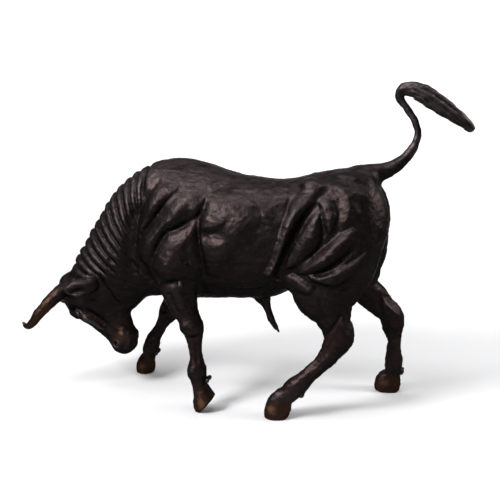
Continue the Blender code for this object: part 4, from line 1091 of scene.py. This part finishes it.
def linked(material, kind, place, **inputs):
    """A node with its values set and other nodes' outputs joined to its inputs."""
    tree = material.node_tree
    node = tree.nodes.new(kind)
    node.location = place
    for name, value in inputs.items():
        socket = node.inputs[name]
        if isinstance(value, bpy.types.NodeSocket):
            tree.links.new(value, socket)
        else:
            socket.default_value = value
    return node


def ramp(material, place, source, stops):
    node = linked(material, "ShaderNodeValToRGB", place, Fac=source)
    band = node.color_ramp
    while len(band.elements) < len(stops):
        band.elements.new(0.5)
    for element, (spot, shade) in zip(band.elements, stops):
        element.position = spot
        element.color = (*shade, 1) if len(shade) == 3 else (shade[0],) * 3 + (1,)
    return node.outputs["Color"]


def mixed(material, place, share, one, other, blend="MIX"):
    node = material.node_tree.nodes.new("ShaderNodeMix")
    node.location = place
    node.data_type = "RGBA"
    node.blend_type = blend
    links = material.node_tree.links
    # A colour mix keeps its share in socket 0, its colours in 6 and 7, and its result in 2
    for socket, value in ((node.inputs[0], share), (node.inputs[6], one), (node.inputs[7], other)):
        if isinstance(value, bpy.types.NodeSocket):
            links.new(value, socket)
        elif socket == node.inputs[0]:
            socket.default_value = value
        else:
            socket.default_value = (*value, 1)
    return node.outputs[2]


def noise(material, place, where, scale, detail, roughness):
    values = {"Vector": where, "Scale": scale, "Detail": detail, "Roughness": roughness}
    return linked(material, "ShaderNodeTexNoise", place, **values).outputs["Fac"]


def patina():
    """Dark brown patina on a reddish ground, lighter on horns, hooves and muzzle; painted shade and
    highlights.
    """
    material = bpy.data.materials.new("bronze_patina")
    material.use_nodes = True
    tree = material.node_tree
    shader = tree.nodes["Principled BSDF"]
    where = linked(material, "ShaderNodeTexCoord", (-1700, 0)).outputs["Object"]
    clouds = noise(material, (-1400, 300), where, *CLOUDS)
    rust = noise(material, (-1400, 50), where, *RUST)
    specks = noise(material, (-1400, -200), where, *SPECKS)
    colour = ramp(material, (-1100, 300), clouds, DARK_STOPS)
    warm = ramp(material, (-1100, 50), rust, WARM_STOPS)
    colour = mixed(material, (-800, 250), warm, colour, WARM_SHADE)
    fleck = ramp(material, (-1100, -200), specks, FLECK_STOPS)
    colour = mixed(material, (-600, 200), 1.0, colour, fleck, "MULTIPLY")
    place = -400
    for name, shade in MARKS:
        mask = linked(material, "ShaderNodeAttribute", (-1100, place))
        mask.attribute_name = name
        colour = mixed(material, (-400, place + 500), mask.outputs["Fac"], colour, shade)
        place -= 200
    tree.links.new(colour, shader.inputs["Base Color"])
    shader.inputs["Metallic"].default_value = METALLIC
    shader.inputs["Specular Tint"].default_value = EDGE_TINT
    shine = ramp(material, (-400, -500), specks, SHINE_STOPS)
    tree.links.new(shine, shader.inputs["Roughness"])
    grain = noise(material, (-1100, -1300), where, *GRAIN)
    dents = noise(material, (-1100, -1550), where, *DENTS)
    bump = linked(
        material, "ShaderNodeBump", (-500, -1300), Height=dents, Strength=0.5, Distance=0.005
    ).outputs["Normal"]
    bump = linked(
        material, "ShaderNodeBump", (-250, -1100),
        Height=grain, Strength=0.35, Distance=0.0012, Normal=bump,
    ).outputs["Normal"]
    tree.links.new(bump, shader.inputs["Normal"])
    return material


def mark(mesh, name, values):
    layer = mesh.attributes.new(name, "FLOAT", "POINT")
    layer.data.foreach_set("value", values.astype(np.float32))


def bending(mesh, spots):
    """How sharply the surface bulges at each point, smoothed; negative in creases."""
    ends = np.empty(2 * len(mesh.edges), np.int32)
    mesh.edges.foreach_get("vertices", ends)
    ends = ends.reshape(-1, 2)
    one = np.concatenate([ends[:, 0], ends[:, 1]])
    other = np.concatenate([ends[:, 1], ends[:, 0]])
    count = np.bincount(one, minlength=len(spots))
    normals = read(mesh.vertices, "normal")
    gap = np.einsum("ij,ij->i", spots[one] - spots[other], normals[one])
    length = np.einsum("ij,ij->i", spots[one] - spots[other], spots[one] - spots[other])
    bend = np.bincount(one, gap / np.maximum(length, 1e-10), len(spots)) / np.maximum(count, 1)
    for _ in range(BEND_ROUNDS):
        bend = 0.4 * bend + 0.6 * np.bincount(one, bend[other], len(spots)) / np.maximum(count, 1)
    return bend * UNIT * BEND_SCALE


def patches(rows, x, z, uneven):
    """Soft patches in the side view with uneven edges."""
    mask = np.zeros(len(x))
    for spot_x, spot_z, long, wide, share in rows:
        off = ((x - spot_x) / long) ** 2 + ((z - spot_z) / wide) ** 2
        mask = np.maximum(mask, share * smooth_step(np.exp(-off) + 0.35 * uneven, 0.1, 1.05))
    return mask


def marked(mesh):
    """A mask on the mesh for each shade that is laid over the patina."""
    spots = read(mesh.vertices, "co")
    x, y, z = (spots / UNIT).T
    x = x - PART_SHIFT
    up = read(mesh.vertices, "normal")[:, 2]
    places = np.stack([x, y, z], -1).astype(np.float32)
    uneven = waves(places, 1.6)
    broad = waves(places, 5.0)
    bend = bending(mesh, spots)

    # Horns beyond the poll, darker towards the tip
    horn = smooth_step(-x, 77, 82) * smooth_step(np.abs(y), 9, 12) * smooth_step(49.5 - z, 0, 1.5)
    horn *= 1 - 0.55 * smooth_step(-x, 84, 93)

    # Hooves up to the coronet, which is higher on the forefoot that stands on its toe
    tipped = smooth_step(-x, 5, 9) * smooth_step(x, -26, -22) * (y < 0)
    hoof = smooth_step(8.8 + 2 * tipped - z, 0, 2.6)

    # Lighter grey, partly dust and partly a painted highlight, on what faces up high on the body, on
    # the tuft and on the upper half of the tail
    tuft = smooth_step(x, 57, 59) * smooth_step(z, 119, 123) * smooth_step(-x, -84, -66)
    tail = smooth_step(x, 50, 56) * smooth_step(z, 99, 104) * smooth_step(-z, -124, -119)
    dust_and_painted_sheen = smooth_step(up, 0.25, 1.0) * smooth_step(z, 70, 95) * 0.6 + tuft + 0.6 * tail

    # Red of the metal on the legs, above the hooves
    low = smooth_step(52 - z, 0, 22) * smooth_step(z, 8, 12)

    mark(mesh, "dust_and_painted_sheen", dust_and_painted_sheen * smooth_step(broad, -0.9, 0.7))
    mark(mesh, "ruddy", 0.8 * low * smooth_step(broad, -0.5, 0.6))
    # Painted shade on what faces down, above the hooves
    mark(mesh, "painted_underside_shade", 0.9 * smooth_step(-up, -0.12, 0.4) * smooth_step(z, 10, 16))
    mark(mesh, "horn", horn)
    mark(mesh, "hoof", hoof)
    # Lighter where worn on the muzzle, and golden glints painted as highlights on the hooves
    mark(mesh, "wear_and_painted_glint", patches(WEAR_AND_GLINT_PATCHES, x, z, uneven))
    # Painted shade in the patches listed at the top
    mark(mesh, "painted_shade", patches(PAINTED_SHADE_PATCHES, x, z, uneven))
    # Painted highlight on what bulges
    mark(mesh, "painted_bulge_highlight", 0.5 * smooth_step(bend, 0.25, 1.2))
    # Painted shade in creases
    mark(mesh, "painted_crease_shade", 0.65 * smooth_step(-bend, 0.15, 1.0))


def bull():
    values, low = sampled(FINE_STEP)
    points, quads = surface(values, low, FINE_STEP)
    mesh = placed(trimmed(thinned(mesh_of(points, quads), VISIBLE_TRIANGLES)))
    marked(mesh)
    mesh.materials.append(patina())
    body = added("bull_bronze", mesh)
    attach(body, "root")
    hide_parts("bull")
    return body


def plain(name, shade, roughness):
    material = bpy.data.materials.new(name)
    material.use_nodes = True
    shader = material.node_tree.nodes["Principled BSDF"]
    shader.inputs["Base Color"].default_value = (*shade, 1)
    shader.inputs["Roughness"].default_value = roughness
    return material


def backdrop():
    """A pale floor that curves up into a pale wall far behind the figure."""
    profile = [(FLOOR_FRONT, 0.0), (WALL_PLACE - COVE, 0.0)]
    for i in range(1, COVE_STEPS + 1):
        turn = math.pi / 2 * i / COVE_STEPS
        profile.append((WALL_PLACE - COVE + COVE * math.sin(turn), COVE - COVE * math.cos(turn)))
    profile.append((WALL_PLACE, WALL_TOP))
    spots = [(x, y, z - FLOOR_GAP) for y, z in profile for x in (-FLOOR_SIDE, FLOOR_SIDE)]
    faces = [(2 * i, 2 * i + 1, 2 * i + 3, 2 * i + 2) for i in range(len(profile) - 1)]
    mesh = bpy.data.meshes.new("studio_backdrop")
    mesh.from_pydata(spots, [], faces)
    for face in mesh.polygons:
        face.use_smooth = True
    mesh.materials.append(plain("pale_backdrop", BACKDROP_SHADE, 0.9))
    body = added("studio_backdrop", mesh)


def lamp(name, place, aim, size, power):
    light = bpy.data.lights.new(name, "AREA")
    light.shape = "RECTANGLE"
    light.size, light.size_y = size
    light.energy = power
    body = added(name, light)
    body.location = place
    way = np.array(aim) - np.array(place)
    body.rotation_euler = (
        math.atan2(math.hypot(way[0], way[1]), -way[2]),
        0,
        math.atan2(way[1], way[0]) - math.pi / 2,
    )


def studio():
    world = bpy.data.worlds.new("studio")
    bpy.context.scene.world = world
    world.use_nodes = True
    world.node_tree.nodes["Background"].inputs["Color"].default_value = (1, 1, 1, 1)
    world.node_tree.nodes["Background"].inputs["Strength"].default_value = WORLD_LIGHT
    for row in LAMPS:
        lamp(*row)
    bpy.context.scene.view_settings.view_transform = "Standard"


def camera():
    lens = bpy.data.cameras.new("camera")
    lens.lens = CAMERA_LENS
    lens.sensor_width = CAMERA_SENSOR
    lens.sensor_fit = "HORIZONTAL"
    lens.clip_end = 200
    body = added("camera", lens)
    body.location = CAMERA_PLACE
    body.rotation_euler = (math.radians(90 - CAMERA_TILT), 0, math.radians(CAMERA_TURN))
    bpy.context.scene.camera = body


camera()
bull()
backdrop()
studio()
